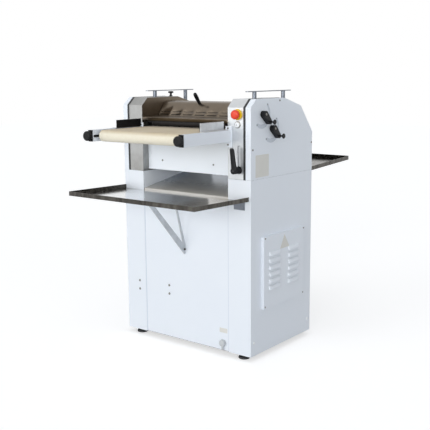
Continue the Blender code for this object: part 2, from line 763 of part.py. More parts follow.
def build_infeed():
    inner_radius = CONVEYOR_RADIUS + BELT_CLEARANCE
    outer_radius = inner_radius + BELT_THICKNESS
    ends = (NOSE_Y, CONVEYOR_Z), (INFEED_DRIVE_Y, CONVEYOR_Z)
    loops = [capsule(ends[0], r, ends[1], r, ROLLER_SIDES // 2) for r in (outer_radius, inner_radius)]
    plate("infeed_belt", "felt_belt", loops, "X", -BELT_HALF, BELT_HALF)
    bed_top = CONVEYOR_Z + inner_radius - BELT_CLEARANCE
    room = CONVEYOR_RADIUS + 0.004
    low = (-(ARM_IN - GAP), NOSE_Y + room, bed_top - SHEET)
    high = (ARM_IN - GAP, INFEED_DRIVE_Y - room, bed_top)
    bed = block("belt_bed", "stainless", low, high)
    inner = ARM_IN - FOOT_PLATE_INNER - GAP
    for name, side in SIDES.items():
        x = sorted((side * inner, side * (ARM_IN + 0.01)))
        notch_low = (x[0], -2 * GAP - FOOT_PLATE_THICKNESS, bed_top - 0.01)
        cut(bed, block(f"bed_notch_{name}", None, notch_low, (x[1], high[1] + 0.01, bed_top + 0.01)))
    for name, side in SIDES.items():
        build_arm(name, side)


def build_arm(name, side):
    def across(inner, outer):
        return sorted((side * inner, side * outer))

    rear = -GAP - FOOT_PLATE_THICKNESS
    x = across(ARM_IN, ARM_OUT)
    arm = block(f"infeed_arm_{name}", "white_paint", (x[0], ARM_FRONT, ARM_BOTTOM), (x[1], rear + 0.002, ARM_TOP))
    foot_x = across(ARM_IN - FOOT_PLATE_INNER, ARM_OUT + FOOT_PLATE_OUTER)
    foot = block(f"arm_foot_{name}", None, (foot_x[0], rear, FOOT_PLATE_BOTTOM), (foot_x[1], -GAP, FOOT_PLATE_TOP))
    hollow_x = across(ARM_IN + ARM_WALL, ARM_OUT - ARM_WALL)
    hollow = block(
        f"arm_hollow_{name}", None,
        (hollow_x[0], ARM_FRONT - 0.01, ARM_BOTTOM + ARM_WALL), (hollow_x[1], rear - 0.004, ARM_TOP - ARM_WALL),
    )
    bore_x = across(ARM_IN - 0.01, ARM_MID)
    bore = rod(
        f"axle_bore_{name}", None, AXLE_RADIUS + BORE_CLEARANCE,
        (bore_x[0], NOSE_Y, CONVEYOR_Z), (bore_x[1], NOSE_Y, CONVEYOR_Z), 20,
    )
    weld_to(arm, foot)
    cut(arm, hollow, bore)

    front = ARM_FRONT - GAP - BRACKET_THICKNESS
    bracket = block(f"end_bracket_{name}", "black_plastic", (x[0], front, ARM_BOTTOM), (x[1], ARM_FRONT - GAP, ARM_TOP))
    centre = (side * ARM_MID, front, ARM_CENTRE_Z)
    behind = (centre[0], ARM_FRONT + 0.01, centre[2])
    ahead = (centre[0], front - 0.01, centre[2])
    cut(bracket, rod(f"bracket_bore_{name}", None, TENSION_ROD + BORE_CLEARANCE, behind, ahead, 16, "-Y"))
    radius, depth = TENSION_KNOB_RADIUS, TENSION_KNOB_DEPTH
    profile = [
        (0.0, depth),
        (radius * 0.72, depth),
        (radius, depth - 0.006),
        (radius, 0.012),
        (radius * 0.5, 0.008),
        (radius * 0.5, GAP),
        (TENSION_ROD, GAP),
        (TENSION_ROD, -0.035),
        (0.0, -0.035),
    ]
    turned(f"tension_knob_{name}", "black_plastic", profile, centre, "-Y", 24)

    face = ARM_IN - GUIDE_INSET
    base = ARM_TOP + GAP
    guide_path = [(side * face, GUIDE_TOP), (side * face, base), (side * (ARM_OUT - 0.004), base)]
    outline = strip(guide_path, -side * GUIDE_THICKNESS)
    plate(f"side_guide_{name}", "stainless", [outline], "Y", GUIDE_FRONT, GUIDE_REAR)


# ---------- guard, chute and tables ----------

def build_guard_and_chute():
    reach = WALL - SIDE_GAP
    path = [(GUARD_Y + 0.018, GUARD_BOTTOM), (GUARD_Y, GUARD_BOTTOM), (GUARD_Y, GUARD_TOP)]
    plate("front_guard", "white_paint", [strip(path, SHEET)], "X", -reach, reach)

    top = SEAM_HEIGHT - 2 * GAP
    rear = CHUTE_FRONT + (top - CHUTE_FRONT_Z) / CHUTE_SLOPE
    rear = min(rear, BODY_DEPTH - PANEL_RECESS - SHEET - GAP)
    rear_z = CHUTE_FRONT_Z + (rear - CHUTE_FRONT) * CHUTE_SLOPE
    lip_z = CHUTE_FRONT_Z - (CHUTE_FRONT - PANEL_RECESS) * CHUTE_SLOPE
    floor = [(PANEL_RECESS, PANEL_TOP + GAP), (PANEL_RECESS, lip_z), (rear, rear_z)]
    chute = plate("outlet_chute", "stainless", [strip(floor, SHEET)], "X", -reach, reach)
    wedge = [(PANEL_RECESS, lip_z - SHEET / 2), (PANEL_RECESS, top), (rear, top), (rear, rear_z - SHEET / 2)]
    for name, side in SIDES.items():
        x = sorted((side * (reach - SHEET), side * reach))
        weld_to(chute, plate(f"chute_cheek_{name}", None, [wedge], "X", *x))


def build_table(name, hinge_y, hinge_z, outward, depth, rise):
    """A lipped tray on the body's front (outward -1) or rear (+1), with its brace in the same turned frame.

    Both have their origin on the tray's hinge, at the top of its edge beside the body.
    """
    tilt = outward * math.asin(rise / depth)
    hinge = (0.0, hinge_y, hinge_z)
    rotation = (tilt, 0.0, 0.0)
    y = sorted((0.0, outward * depth))
    low = Vector((-TABLE_HALF_WIDTH, y[0], -TABLE_LIP))
    high = Vector((TABLE_HALF_WIDTH, y[1], 0.0))
    shift = Vector(hinge)
    table = block(f"{name}_table", "stainless", low + shift, high + shift, hinge, rotation)
    pocket_y = sorted((-outward * 0.01, outward * (depth - SHEET)))
    pocket_low = Vector((-TABLE_HALF_WIDTH + SHEET, pocket_y[0], SHEET - TABLE_LIP))
    pocket_high = Vector((TABLE_HALF_WIDTH - SHEET, pocket_y[1], 0.01))
    cut(table, block(f"{name}_table_pocket", None, pocket_low + shift, pocket_high + shift, hinge, rotation))

    def local(out, down):
        """A point given outward from the panel and below the hinge, in the turned frame."""
        dy = outward * out - outward * (TABLE_STANDOFF + PANEL_RECESS)
        dz = -down
        return (dy * math.cos(tilt) + dz * math.sin(tilt), -dy * math.sin(tilt) + dz * math.cos(tilt))

    def under(reach):
        return (outward * reach, -TABLE_LIP - GAP)

    outline = [
        local(0.012, BRACE_DROP + 0.013),
        local(GAP, BRACE_DROP + 0.008),
        local(GAP, BRACE_DROP - 0.042),
        under(STAY_REACH - STAY_WIDTH),
        under(STAY_REACH),
        local(0.024, BRACE_DROP - 0.060),
        under(BRACE_REACH - BRACE_WIDTH),
        under(BRACE_REACH),
    ]
    half = BRACE_THICKNESS / 2
    plate(f"{name}_brace", "stainless", [outline], "X", -half, half, hinge, rotation)


def build_tables():
    build_table("front", -TABLE_STANDOFF, FRONT_TABLE_Z, -1, FRONT_TABLE_DEPTH, FRONT_TABLE_RISE)
    build_table("rear", BODY_DEPTH + TABLE_STANDOFF, REAR_TABLE_Z, 1, REAR_TABLE_DEPTH, REAR_TABLE_RISE)
    for name, face, outward, top, spans in (
        ("front", -GAP, -1, FRONT_TABLE_Z - TABLE_LIP - GAP, {"left": (-HOOK_OUTER, -HOOK_INNER), "right": (HOOK_INNER, HOOK_OUTER)}),
        ("rear", BODY_DEPTH + GAP, 1, REAR_TABLE_Z - TABLE_LIP - GAP, {"rail": (-HOOK_OUTER, HOOK_OUTER)}),
    ):
        path = [(face, top - HOOK_DROP), (face, top), (face + outward * HOOK_LEDGE, top)]
        outline = strip(path, outward * HOOK_SHEET)
        for side_name, span in spans.items():
            plate(f"{name}_hook_{side_name}", "stainless", [outline], "X", *span)


# ---------- controls ----------

def build_controls():
    front = (CONTROL_X, -GAP, ESTOP_Z)
    hole = ESTOP_STEM + BORE_CLEARANCE
    ring = [(hole, 0.009), (ESTOP_RING * 0.92, 0.009), (ESTOP_RING, 0.006), (ESTOP_RING, 0.0), (hole, 0.0)]
    turned("estop_ring", "yellow_plastic", ring, front, "-Y", 28, ring=True)
    cap = [
        (0.0, 0.039),
        (ESTOP_CAP * 0.80, 0.0375),
        (ESTOP_CAP, 0.031),
        (ESTOP_CAP, 0.019),
        (ESTOP_STEM, 0.016),
        (ESTOP_STEM, -0.012),
        (0.0, -0.012),
    ]
    turned("estop_button", "red_plastic", cap, front, "-Y", 28)
    start = [
        (0.0, 0.0095),
        (START_RADIUS * 0.9, 0.0095),
        (START_RADIUS, 0.008),
        (START_RADIUS, -0.010),
        (0.0, -0.010),
    ]
    turned("start_button", "white_plastic", start, (START_X, -GAP, START_Z), "-Y", 28)

    stud = [
        (0.0, CLAMP_HUB_DEPTH),
        (CLAMP_HUB, CLAMP_HUB_DEPTH),
        (CLAMP_HUB, 0.004),
        (CLAMP_HUB + 0.003, 0.004),
        (CLAMP_HUB + 0.003, 0.0),
        (CLAMP_SHANK, 0.0),
        (CLAMP_SHANK, -SHEET - 2 * GAP),
        (CLAMP_HUB - 0.004, -SHEET - 2 * GAP),
        (CLAMP_HUB - 0.004, -SHEET - 0.008),
        (0.0, -SHEET - 0.008),
    ]
    turned("clamp_stud", "black_plastic", stud, (CLAMP_X, -GAP, CLAMP_Z), "-Y", 24)
    y0 = -GAP - CLAMP_HUB_DEPTH - GAP
    outline = capsule((0.0, 0.0), CLAMP_HUB, (-0.006, LEVER_LENGTH - 0.012), 0.012, 8)
    plate("clamp_lever", "black_plastic", [outline], "Y", -0.016, 0.0, (CLAMP_X, y0, CLAMP_Z))


def build_cranks():
    heading = math.radians(CRANK_ANGLE)
    tip = (CRANK_LENGTH * math.cos(heading), CRANK_LENGTH * math.sin(heading))
    for name, (y, z) in CRANKS.items():
        pivot = (CRANK_X, y, z)
        outline = capsule((0.0, 0.0), CRANK_HUB, tip, CRANK_END, 10)
        arm = plate(f"crank_{name}", "black_plastic", [outline], "X", 0.0, CRANK_THICKNESS, pivot)
        shaft_start = (PLATE_IN + 0.001, y, z)
        shaft_end = (CRANK_X + CRANK_THICKNESS / 2, y, z)
        weld_to(arm, rod(f"crank_{name}_shaft", None, CRANK_SHAFT, shaft_start, shaft_end, 20))
        stem = (CRANK_X - 0.01, y + tip[0], z + tip[1])
        past = (CRANK_X + CRANK_THICKNESS + 0.01, stem[1], stem[2])
        cut(arm, rod(f"plunger_{name}_bore", None, PLUNGER_STEM + BORE_CLEARANCE, stem, past, 16))
        reach = CRANK_THICKNESS + PLUNGER_REACH
        profile = [
            (0.0, reach + PLUNGER_HEAD),
            (PLUNGER_KNOB * 0.85, reach + PLUNGER_HEAD),
            (PLUNGER_KNOB, reach + PLUNGER_HEAD - 0.0015),
            (PLUNGER_KNOB, reach + 0.001),
            (PLUNGER_STEM, reach),
            (PLUNGER_STEM, 0.001),
            (0.0, 0.001),
        ]
        turned(f"plunger_{name}", "black_plastic", profile, (CRANK_X, stem[1], stem[2]), "+X", 20)


# ---------- drive and gland ----------

def build_drive():
    frame_top = CABINET_BOTTOM + FRAME_HEIGHT
    end = PLATE_IN - 0.008
    start = end - MOTOR_LENGTH
    r = MOTOR_RADIUS
    profile = [
        (0.0, MOTOR_LENGTH),
        (r * 0.55, MOTOR_LENGTH),
        (r * 0.62, MOTOR_LENGTH - 0.012),
        (r, MOTOR_LENGTH - 0.020),
        (r, 0.030),
        (r * 0.90, 0.024),
        (r * 0.90, 0.0),
        (0.0, 0.0),
    ]
    motor = turned("drive_motor", "motor_paint", profile, (start, MOTOR_Y, MOTOR_Z), "+X", 28)
    low = (start + 0.055, MOTOR_Y - 0.035, frame_top + GAP)
    high = (end - 0.055, MOTOR_Y + 0.035, MOTOR_Z - r * 0.5)
    weld_to(motor, block("motor_foot", None, low, high))

    pulley_x = PLATE_OUT + 0.006
    low_end, high_end = pulley_x - end - GAP, pulley_x + PULLEY_WIDTH - end - GAP
    profile = [
        (0.0, high_end),
        (MOTOR_PULLEY, high_end),
        (MOTOR_PULLEY, low_end),
        (SHAFT_RADIUS, low_end),
        (SHAFT_RADIUS, 0.0),
        (0.0, 0.0),
    ]
    turned("motor_pulley", "roller_steel", profile, (end + GAP, MOTOR_Y, MOTOR_Z), "+X", 28)
    hole = SHAFT_RADIUS + GAP
    ring = [(hole, PULLEY_WIDTH), (DRIVEN_PULLEY, PULLEY_WIDTH), (DRIVEN_PULLEY, 0.0), (hole, 0.0)]
    turned("driven_pulley", "roller_steel", ring, (pulley_x, SHEETING_Y, LOWER_Z), "+X", 28, ring=True)

    motor_end, roller_end = (MOTOR_Y, MOTOR_Z), (SHEETING_Y, LOWER_Z)
    loops = []
    for grow in (BELT_CLEARANCE + DRIVE_BELT_THICKNESS, BELT_CLEARANCE):
        loops.append(capsule(motor_end, MOTOR_PULLEY + grow, roller_end, DRIVEN_PULLEY + grow, 16))
    plate("drive_belt", "black_rubber", loops, "X", pulley_x + 0.001, pulley_x + PULLEY_WIDTH - 0.001)


def build_gland():
    face = PANEL_RECESS - GAP
    profile = [
        (0.0, 0.016),
        (GLAND_RADIUS * 0.55, 0.016),
        (GLAND_RADIUS * 0.62, 0.008),
        (GLAND_RADIUS, 0.006),
        (GLAND_RADIUS, 0.0),
        (0.0, 0.0),
    ]
    gland = turned("cable_gland", "grey_plastic", profile, (GLAND_X, face, GLAND_Z), "-Y", 24)
    y = face - 0.010
    low = (GLAND_X, y, CABINET_BOTTOM + 0.008)
    weld_to(gland, rod("gland_pipe", None, GLAND_PIPE, low, (GLAND_X, y, GLAND_Z), 16, "+Z"))


build_base()
build_column_covers()
build_panels()
build_louvre_cover()
build_head()
build_tray_supports()
build_hood()
build_rollers()
build_infeed()
build_guard_and_chute()
build_tables()
build_controls()
build_cranks()
build_drive()
build_gland()
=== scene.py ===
import math

import bmesh
import bpy
import numpy as np
from mathutils import Matrix, Vector
from mathutils.geometry import tessellate_polygon


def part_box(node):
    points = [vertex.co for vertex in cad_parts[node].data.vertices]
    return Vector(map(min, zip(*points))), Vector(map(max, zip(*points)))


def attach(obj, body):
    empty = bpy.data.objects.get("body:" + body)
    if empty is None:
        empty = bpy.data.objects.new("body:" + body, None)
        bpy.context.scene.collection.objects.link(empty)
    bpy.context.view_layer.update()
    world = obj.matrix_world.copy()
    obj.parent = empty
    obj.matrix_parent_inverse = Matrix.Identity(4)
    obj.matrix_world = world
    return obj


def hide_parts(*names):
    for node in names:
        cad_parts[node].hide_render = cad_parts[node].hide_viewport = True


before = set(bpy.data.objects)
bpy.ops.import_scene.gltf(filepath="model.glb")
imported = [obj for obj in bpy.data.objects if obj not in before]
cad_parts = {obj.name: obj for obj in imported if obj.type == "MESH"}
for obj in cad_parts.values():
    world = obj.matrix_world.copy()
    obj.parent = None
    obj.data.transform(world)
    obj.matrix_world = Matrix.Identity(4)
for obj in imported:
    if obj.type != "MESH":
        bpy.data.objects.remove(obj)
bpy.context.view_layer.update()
print("stage: frame loaded,", len(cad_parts), "nodes")

# Places below are given in the cabinet's own frame: X from its middle plane, Y from its front face, Z from the floor.
leftCorner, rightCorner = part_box("column_cover_left")[0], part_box("column_cover_right")[1]
origin = np.array(((leftCorner.x + rightCorner.x) / 2, leftCorner.y, 0.0))
halfWidth = rightCorner.x - origin[0]
bothSides = {"Left": -1, "Right": 1}
screwSides = 24
roundSides = 72
edgeAngle = math.radians(32.0)


def linear(code):
    # The sRGB curve undone: a straight part near black and a power of 2.4 above it.
    shares = [int(code[i:i + 2], 16) / 255 for i in (0, 2, 4)]
    return (*[c / 12.92 if c <= 0.04045 else ((c + 0.055) / 1.055) ** 2.4 for c in shares], 1.0)


def addNode(tree, kind, settings=None, **links):
    # A setting goes to the input of that name or number, or else to the node. A link takes a socket, or a node's
    # first output, to the input of that name or, as i0, of that number.
    made = tree.nodes.new("ShaderNode" + kind)
    for key, value in (settings or {}).items():
        if isinstance(key, int) or key in made.inputs:
            made.inputs[key].default_value = value
        else:
            setattr(made, key, value)
    for key, source in links.items():
        name = key.replace("_", " ")
        target = made.inputs[int(name[1:])] if name[1:].isdigit() else made.inputs[name]
        tree.links.new(source.outputs[0] if hasattr(source, "outputs") else source, target)
    return made


def perSize(millimetres):
    # How many cells of this size fit in a metre, which is the unit of Object coordinates.
    return 1000.0 / millimetres


def startMaterial(name, colour):
    material = bpy.data.materials.new(name)
    material.use_nodes = True
    material.node_tree.nodes.clear()
    material.diffuse_color = linear(colour)
    return material, material.node_tree, addNode(material.node_tree, "TexCoord").outputs["Object"]


def endMaterial(material, settings, colours, share, relief, gloss=None):
    # What every finish ends in: two colours mixed by a share, a pattern as relief with its depth and strength, a
    # roughness that follows a pattern from one range to another, the shader and the output.
    tree = material.node_tree
    first, second = colours
    mixed = addNode(tree, "Mix", {"data_type": "RGBA", 7: linear(second)}, i0=share)
    if isinstance(first, str):
        mixed.inputs[6].default_value = linear(first)
    else:
        tree.links.new(first, mixed.inputs[6])
    height, depth, strength = relief
    bump = addNode(tree, "Bump", {"Distance": depth, "Strength": strength}, Height=height)
    shader = addNode(tree, "BsdfPrincipled", settings, Base_Color=mixed.outputs[2], Normal=bump)
    if gloss:
        pattern, (lowest, highest), (glossy, rough) = gloss
        shine = addNode(tree, "MapRange", {
            "From Min": lowest, "From Max": highest, "To Min": glossy, "To Max": rough,
        }, Value=pattern)
        tree.links.new(shine.outputs[0], shader.inputs["Roughness"])
    addNode(tree, "OutputMaterial", None, Surface=shader)
    return material


# Polyester powder coat on sheet steel: an orange peel of 2 mm breaks up reflections, and the film's thickness, which
# drifts over a forearm's length, tints it a little and changes its gloss.
def powderCoat(name, thin, thick, roughness):
    material, tree, place = startMaterial(name, thin)
    tone = addNode(tree, "TexNoise", {"Scale": perSize(333), "Detail": 3.0}, Vector=place)
    flow = addNode(tree, "TexNoise", {"Scale": perSize(111), "Detail": 4.0}, Vector=place)
    peel = addNode(tree, "TexNoise", {"Scale": perSize(2.1), "Detail": 1.0}, Vector=place)
    return endMaterial(material, {"IOR": 1.5}, (thin, thick), tone, (peel, 0.00006, 0.35),
                       (flow, (0.3, 0.7), (roughness - 0.05, roughness + 0.07)))


scratchNoise = {"Scale": perSize(1.1), "Detail": 3.0, "Roughness": 0.7}


# Ground stainless sheet: the belt's scratches, a millimetre wide so that they show, run one way, so the highlight
# spreads across them. Smudges the size of a hand darken it and dull it.
def groundSteel(name, lighterColour, smudged, roughness, grain, spread=0.1, smudge=143, drawn=(1.0, 1.0, 1.0)):
    material, tree, place = startMaterial(name, lighterColour)
    along = addNode(tree, "Mapping", {"Scale": grain}, Vector=place)
    scratches = addNode(tree, "TexNoise", scratchNoise, Vector=along)
    wiped = addNode(tree, "Mapping", {"Scale": drawn}, Vector=place)
    smudges = addNode(tree, "TexNoise", {"Scale": perSize(smudge), "Detail": 5.0, "Roughness": 0.62}, Vector=wiped)
    both = addNode(tree, "Math", {"operation": "MULTIPLY_ADD", 1: 0.35}, i0=scratches, i2=smudges)
    dirt = addNode(tree, "MapRange", {"From Min": 0.48, "From Max": 0.88}, Value=both)
    return endMaterial(material, {"Metallic": 1.0}, (lighterColour, smudged), dirt, (scratches, 0.00004, 0.5),
                       (both, (0.45, 0.95), (roughness - spread / 2, roughness + spread)))


# Turned, drawn or zinc-plated steel: the tool's rings or the plating's crystals, as noise cells of the given size.
def turnedSteel(name, bright, dull, roughness, cell):
    material, tree, place = startMaterial(name, bright)
    sized = addNode(tree, "Mapping", {"Scale": [perSize(side) for side in cell]}, Vector=place)
    rings = addNode(tree, "TexNoise", {"Scale": 1.0, "Detail": 3.0, "Roughness": 0.6}, Vector=sized)
    return endMaterial(material, {"Metallic": 1.0}, (bright, dull), rings, (rings, 0.00003, 0.6),
                       (rings, (0.3, 0.7), (roughness - 0.06, roughness + 0.1)))


# Injection moulded plastic: a spark-eroded grain of half a millimetre, with patches that hands have rubbed glossier.
# A print or a label is drawn the same way with a coarser grain, and the seams' painted shade line with its own.
def mouldedPlastic(name, first, second, roughness, grain=0.53, ior=1.46):
    material, tree, place = startMaterial(name, first)
    worn = addNode(tree, "TexNoise", {"Scale": perSize(33), "Detail": 4.0}, Vector=place)
    sparks = addNode(tree, "TexNoise", {"Scale": perSize(grain), "Detail": 1.0}, Vector=place)
    return endMaterial(material, {"IOR": ior}, (first, second), worn, (sparks, 0.00005, 0.45),
                       (worn, (0.3, 0.7), (roughness - 0.07, roughness + 0.09)))


# Woven cotton conveyor belt: warp and weft as two crossed waves, at 2.4 mm a thread where the real one has about
# 1 mm, so that the weave shows. Fuzz is sheen. The top of the belt is painted tan as shade, in patches stretched
# along the belt, and the nose's front and the underside stay cream.
def wovenBelt(name):
    material, tree, place = startMaterial(name, "F2EBD8")
    height = addNode(tree, "SeparateXYZ", None, Vector=place).outputs[2]
    carrying = addNode(tree, "MapRange", {"From Min": 1.352, "From Max": 1.3722}, Value=height)
    lengthwise = addNode(tree, "Mapping", {"Scale": (1.0, 0.35, 1.0)}, Vector=place)
    shadePatches = addNode(tree, "TexNoise", {"Scale": perSize(71), "Detail": 5.0, "Roughness": 0.6}, Vector=lengthwise)
    shadeStrength = addNode(tree, "MapRange", {"From Min": 0.3, "From Max": 0.7, "To Min": 0.72}, Value=shadePatches)
    paintedShadeTop = addNode(tree, "Math", {"operation": "MULTIPLY"}, i0=carrying, i1=shadeStrength)
    yarn = addNode(tree, "TexNoise", {"Scale": perSize(17), "Detail": 3.0}, Vector=place)
    lighterColour = addNode(tree, "Mix", {
        "data_type": "RGBA", 6: linear("F4EEDC"), 7: linear("ECE3CB"),
    }, i0=yarn).outputs[2]
    thread = {"Scale": 2 * math.pi / 20 * perSize(2.4), "Distortion": 0.4}
    warp = addNode(tree, "TexWave", {**thread, "bands_direction": "X"}, Vector=place).outputs[1]
    weft = addNode(tree, "TexWave", {**thread, "bands_direction": "Y"}, Vector=place).outputs[1]
    weave = addNode(tree, "Math", {"operation": "MAXIMUM"}, i0=warp, i1=weft)
    cloth = {"Roughness": 0.88, "IOR": 1.5, "Sheen Weight": 0.25, "Sheen Roughness": 0.6}
    # The cream, and on the top the painted shade of tan.
    return endMaterial(material, cloth, (lighterColour, "CDB68C"), paintedShadeTop, (weave, 0.0003, 0.5))


# Vulcanised rubber: matt, a little chalky where it has been handled.
def rubber(name, first, second, roughness):
    material, tree, place = startMaterial(name, first)
    bloom = addNode(tree, "TexNoise", {"Scale": perSize(22), "Detail": 5.0}, Vector=place)
    skin = addNode(tree, "TexNoise", {"Scale": perSize(0.83), "Detail": 2.0}, Vector=place)
    return endMaterial(material, {"IOR": 1.52}, (first, second), bloom, (skin, 0.0001, 0.4),
                       (bloom, (0.3, 0.7), (roughness - 0.08, roughness + 0.1)))


# Floor of the outlet: ground sheet, painted light and warm at its lip, where light reaches it, and painted shade,
# darker and bluer, deep inside, with drag marks that run the way the pieces slide.
def outletSteel(name):
    material, tree, place = startMaterial(name, "9C9A96")
    depth = addNode(tree, "SeparateXYZ", None, Vector=place).outputs[1]
    dragged = addNode(tree, "Mapping", {"Scale": (1.0, 0.03, 1.0)}, Vector=place)
    marks = addNode(tree, "TexNoise", {"Scale": perSize(3.8), "Detail": 3.0, "Roughness": 0.6}, Vector=dragged)
    ragged = addNode(tree, "Math", {"operation": "MULTIPLY_ADD", 1: 0.2}, i0=marks, i2=depth)
    paintedShadeInward = addNode(tree, "MapRange", {
        "From Min": origin[1] + 0.1, "From Max": origin[1] + 0.4,
    }, Value=ragged)
    # The lip's colour is painted light and the deep colour is painted shade.
    return endMaterial(material, {"Metallic": 0.45}, ("D3D0CB", "9AA5B3"), paintedShadeInward, (marks, 0.00004, 0.6),
                       (ragged, (origin[1] + 0.08, origin[1] + 0.34), (0.58, 0.17)))


# Front tray: polished sheet, painted bright beside the outlet as a reflection of the white front panel, and darker
# towards its left edge and its outer corners. The painted reflection's edge wanders by a noise of a hand's width.
def traySteel(name, lighterColour, tone):
    material, tree, place = startMaterial(name, lighterColour)
    across = addNode(tree, "SeparateXYZ", None, Vector=place)
    reflectionEdgeWander = addNode(tree, "TexNoise", {"Scale": perSize(111), "Detail": 5.0, "Roughness": 0.6}, Vector=place)
    sideways = addNode(tree, "Math", {"operation": "ADD", 1: 0.1}, i0=across)
    fromPaintedReflection = addNode(tree, "Math", {"operation": "ABSOLUTE"}, i0=sideways)
    edge = addNode(tree, "Math", {"operation": "MULTIPLY_ADD", 1: 0.22}, i0=reflectionEdgeWander, i2=fromPaintedReflection)
    # Share of the darker colour: small where the reflection is painted bright, full towards the edges and corners.
    dull = addNode(tree, "MapRange", {"From Min": 0.34, "From Max": 0.5, "To Min": 0.08}, Value=edge)
    lengthwise = addNode(tree, "Mapping", {"Scale": (1.0, 0.05, 1.0)}, Vector=place)
    scratches = addNode(tree, "TexNoise", scratchNoise, Vector=lengthwise)
    return endMaterial(material, {"Metallic": 1.0}, (lighterColour, tone), dull, (scratches, 0.00004, 0.4),
                       (scratches, (0.3, 0.7), (0.09, 0.18)))


# Scratches run along the axis whose scale is small.
alongX, alongY, alongZ = (0.05, 1.0, 1.0), (1.0, 0.05, 1.0), (1.0, 1.0, 0.06)
finishes = {
    "white_paint": powderCoat("powderCoatWhite", "EFF4FA", "EAF0F8", 0.36),
    "grey_steel": groundSteel("satinSteelGrey", "A9AAAA", "949492", 0.42, alongZ),
    "light_steel": groundSteel("satinSteelLight", "D2D5D8", "C0C3C6", 0.42, alongZ),
    "stainless": groundSteel("groundStainless", "A6A39B", "8E8A81", 0.24, alongX),
    "black_plate": powderCoat("blackPlatePaint", "14161A", "0F1114", 0.42),
    "black_plastic": mouldedPlastic("blackPlastic", "090A0D", "0E0F13", 0.4, ior=1.3),
    "black_rubber": rubber("blackRubber", "1C1C1F", "26262A", 0.62),
    "felt_belt": wovenBelt("cottonBelt"),
    "roller_steel": turnedSteel("turnedSteel", "B4B3AE", "989690", 0.26, (1.1, 125, 125)),
    "yellow_plastic": mouldedPlastic("yellowPlastic", "F3CC18", "ECC210", 0.34),
    "red_plastic": mouldedPlastic("redPlastic", "EE4A2C", "E23E22", 0.32),
    "white_plastic": mouldedPlastic("whitePlastic", "F6F8FA", "EEF1F4", 0.3),
    "grey_plastic": mouldedPlastic("greyPlastic", "CFD2D4", "C2C6C9", 0.42),
    "motor_paint": powderCoat("motorPaint", "5E6B72", "535F66", 0.45),
    "hood_steel": groundSteel("hoodStainless", "7A7064", "685E52", 0.3, alongX, smudge=200),
    # The tray's first colour is a painted reflection of the white front panel.
    "tray_steel": traySteel("trayStainless", "E2E5E8", "8D8880"),
    "rear_tray_steel": groundSteel("rearTrayStainless", "5A5751", "3F3C37", 0.16, alongY, spread=0.08, smudge=250),
    "rim_steel": groundSteel("foldedRimStainless", "64615C", "34322F", 0.22, (0.2, 0.2, 0.02), spread=0.08,
                             smudge=29, drawn=(1.0, 1.0, 0.12)),
    "bar_steel": groundSteel("bluedBarSteel", "7E838B", "5B6068", 0.34, alongY),
    "satin_steel": groundSteel("satinBar", "C9CCCF", "B2B4B6", 0.38, (1.0, 1.0, 0.05), smudge=83),
    "outlet_steel": outletSteel("outletStainless"),
    "screw_zinc": turnedSteel("zincScrew", "A09F9B", "6E6C69", 0.34, (2, 2, 2)),
    "scale_print": mouldedPlastic("scalePrint", "D3DAE3", "CDD5DF", 0.35, grain=1.4),
    # The seam strips' pale grey-blue is the seams' painted shade line.
    "seam_shade_paint": mouldedPlastic("seamShadePaint", "D6DEE9", "D0D9E5", 0.48),
    "ink": mouldedPlastic("scaleInk", "3A4048", "343A42", 0.45, grain=1.4),
    "blank_label": mouldedPlastic("blankLabel", "E2E1DB", "DDDCD6", 0.38, grain=1.4),
}
print("stage: finishes,", len(finishes))


def turnSteps(sides):
    return np.arange(sides) * (2 * math.pi / sides)


def gridFaces(rows, columns, closed=True):
    # Four-sided faces from each row of points to the next; closed joins a row's last point to its first.
    i, j = np.meshgrid(np.arange(rows - 1), np.arange(columns if closed else columns - 1), indexing="ij")
    k = (j + 1) % columns
    quads = np.stack([i * columns + j, i * columns + k, (i + 1) * columns + k, (i + 1) * columns + j], -1)
    return [tuple(quad) for quad in quads.reshape(-1, 4).tolist()]


def cappedTube(rings, first, last):
    # Rings joined one to the next, and a fan from each end ring to the point given for it.
    sides, end, centre = len(rings[0]), (len(rings) - 1) * len(rings[0]), len(rings) * len(rings[0])
    faces = gridFaces(len(rings), sides)
    faces += [((n + 1) % sides, n, centre) for n in range(sides)]
    faces += [(end + n, end + (n + 1) % sides, centre + 1) for n in range(sides)]
    return np.concatenate([*rings, [first], [last]]), faces


def lathe(profile, sides=roundSides, lobes=None, unit=0.001):
    # Each ring is its radius times the cosine and sine of each angle, at its height; lobes scale it by angle. A
    # profile holds radius and height, in millimetres unless the unit says otherwise.
    angles = turnSteps(sides)
    radii, heights = (np.array(column)[:, None] * np.full(sides, unit) for column in zip(*profile))
    if lobes is not None:
        radii = radii * lobes(angles, heights)
    points = np.stack([radii * np.cos(angles), radii * np.sin(angles), heights], -1).reshape(-1, 3)
    return points, gridFaces(len(profile), sides)


def rod(radius, low, high, sides):
    return lathe([(0, low), (radius, low), (radius, high), (0, high)], sides, unit=1.0)


def fluted(count, depth, low, high):
    # Flutes scale a grip's radius by a wave of the angle, between the two heights of the grip.
    return lambda angles, heights: (
        1 - depth * (0.5 + 0.5 * np.cos(count * angles)) ** 2 * ((heights > low) & (heights < high))
    )


def aim(part, place, direction="Z"):
    # The part's own Z turned to the direction given, then moved to its place.
    points, faces = part
    if isinstance(direction, str):
        turns = {"Z": (0, "X"), "X": (90, "Y"), "-X": (-90, "Y"), "-Y": (90, "X")}
        degrees, axis = turns[direction]
        direction = Matrix.Rotation(math.radians(degrees), 3, axis)
    return points @ np.array(direction).T + np.array(place), faces


def cuboid(low, high):
    corners = np.array([(x, y, z) for x in (0, 1) for y in (0, 1) for z in (0, 1)], float)
    points = np.array(low) + corners * (np.array(high) - np.array(low))
    return points, [(0, 1, 3, 2), (4, 6, 7, 5), (0, 4, 5, 1), (2, 3, 7, 6), (0, 2, 6, 4), (1, 5, 7, 3)]


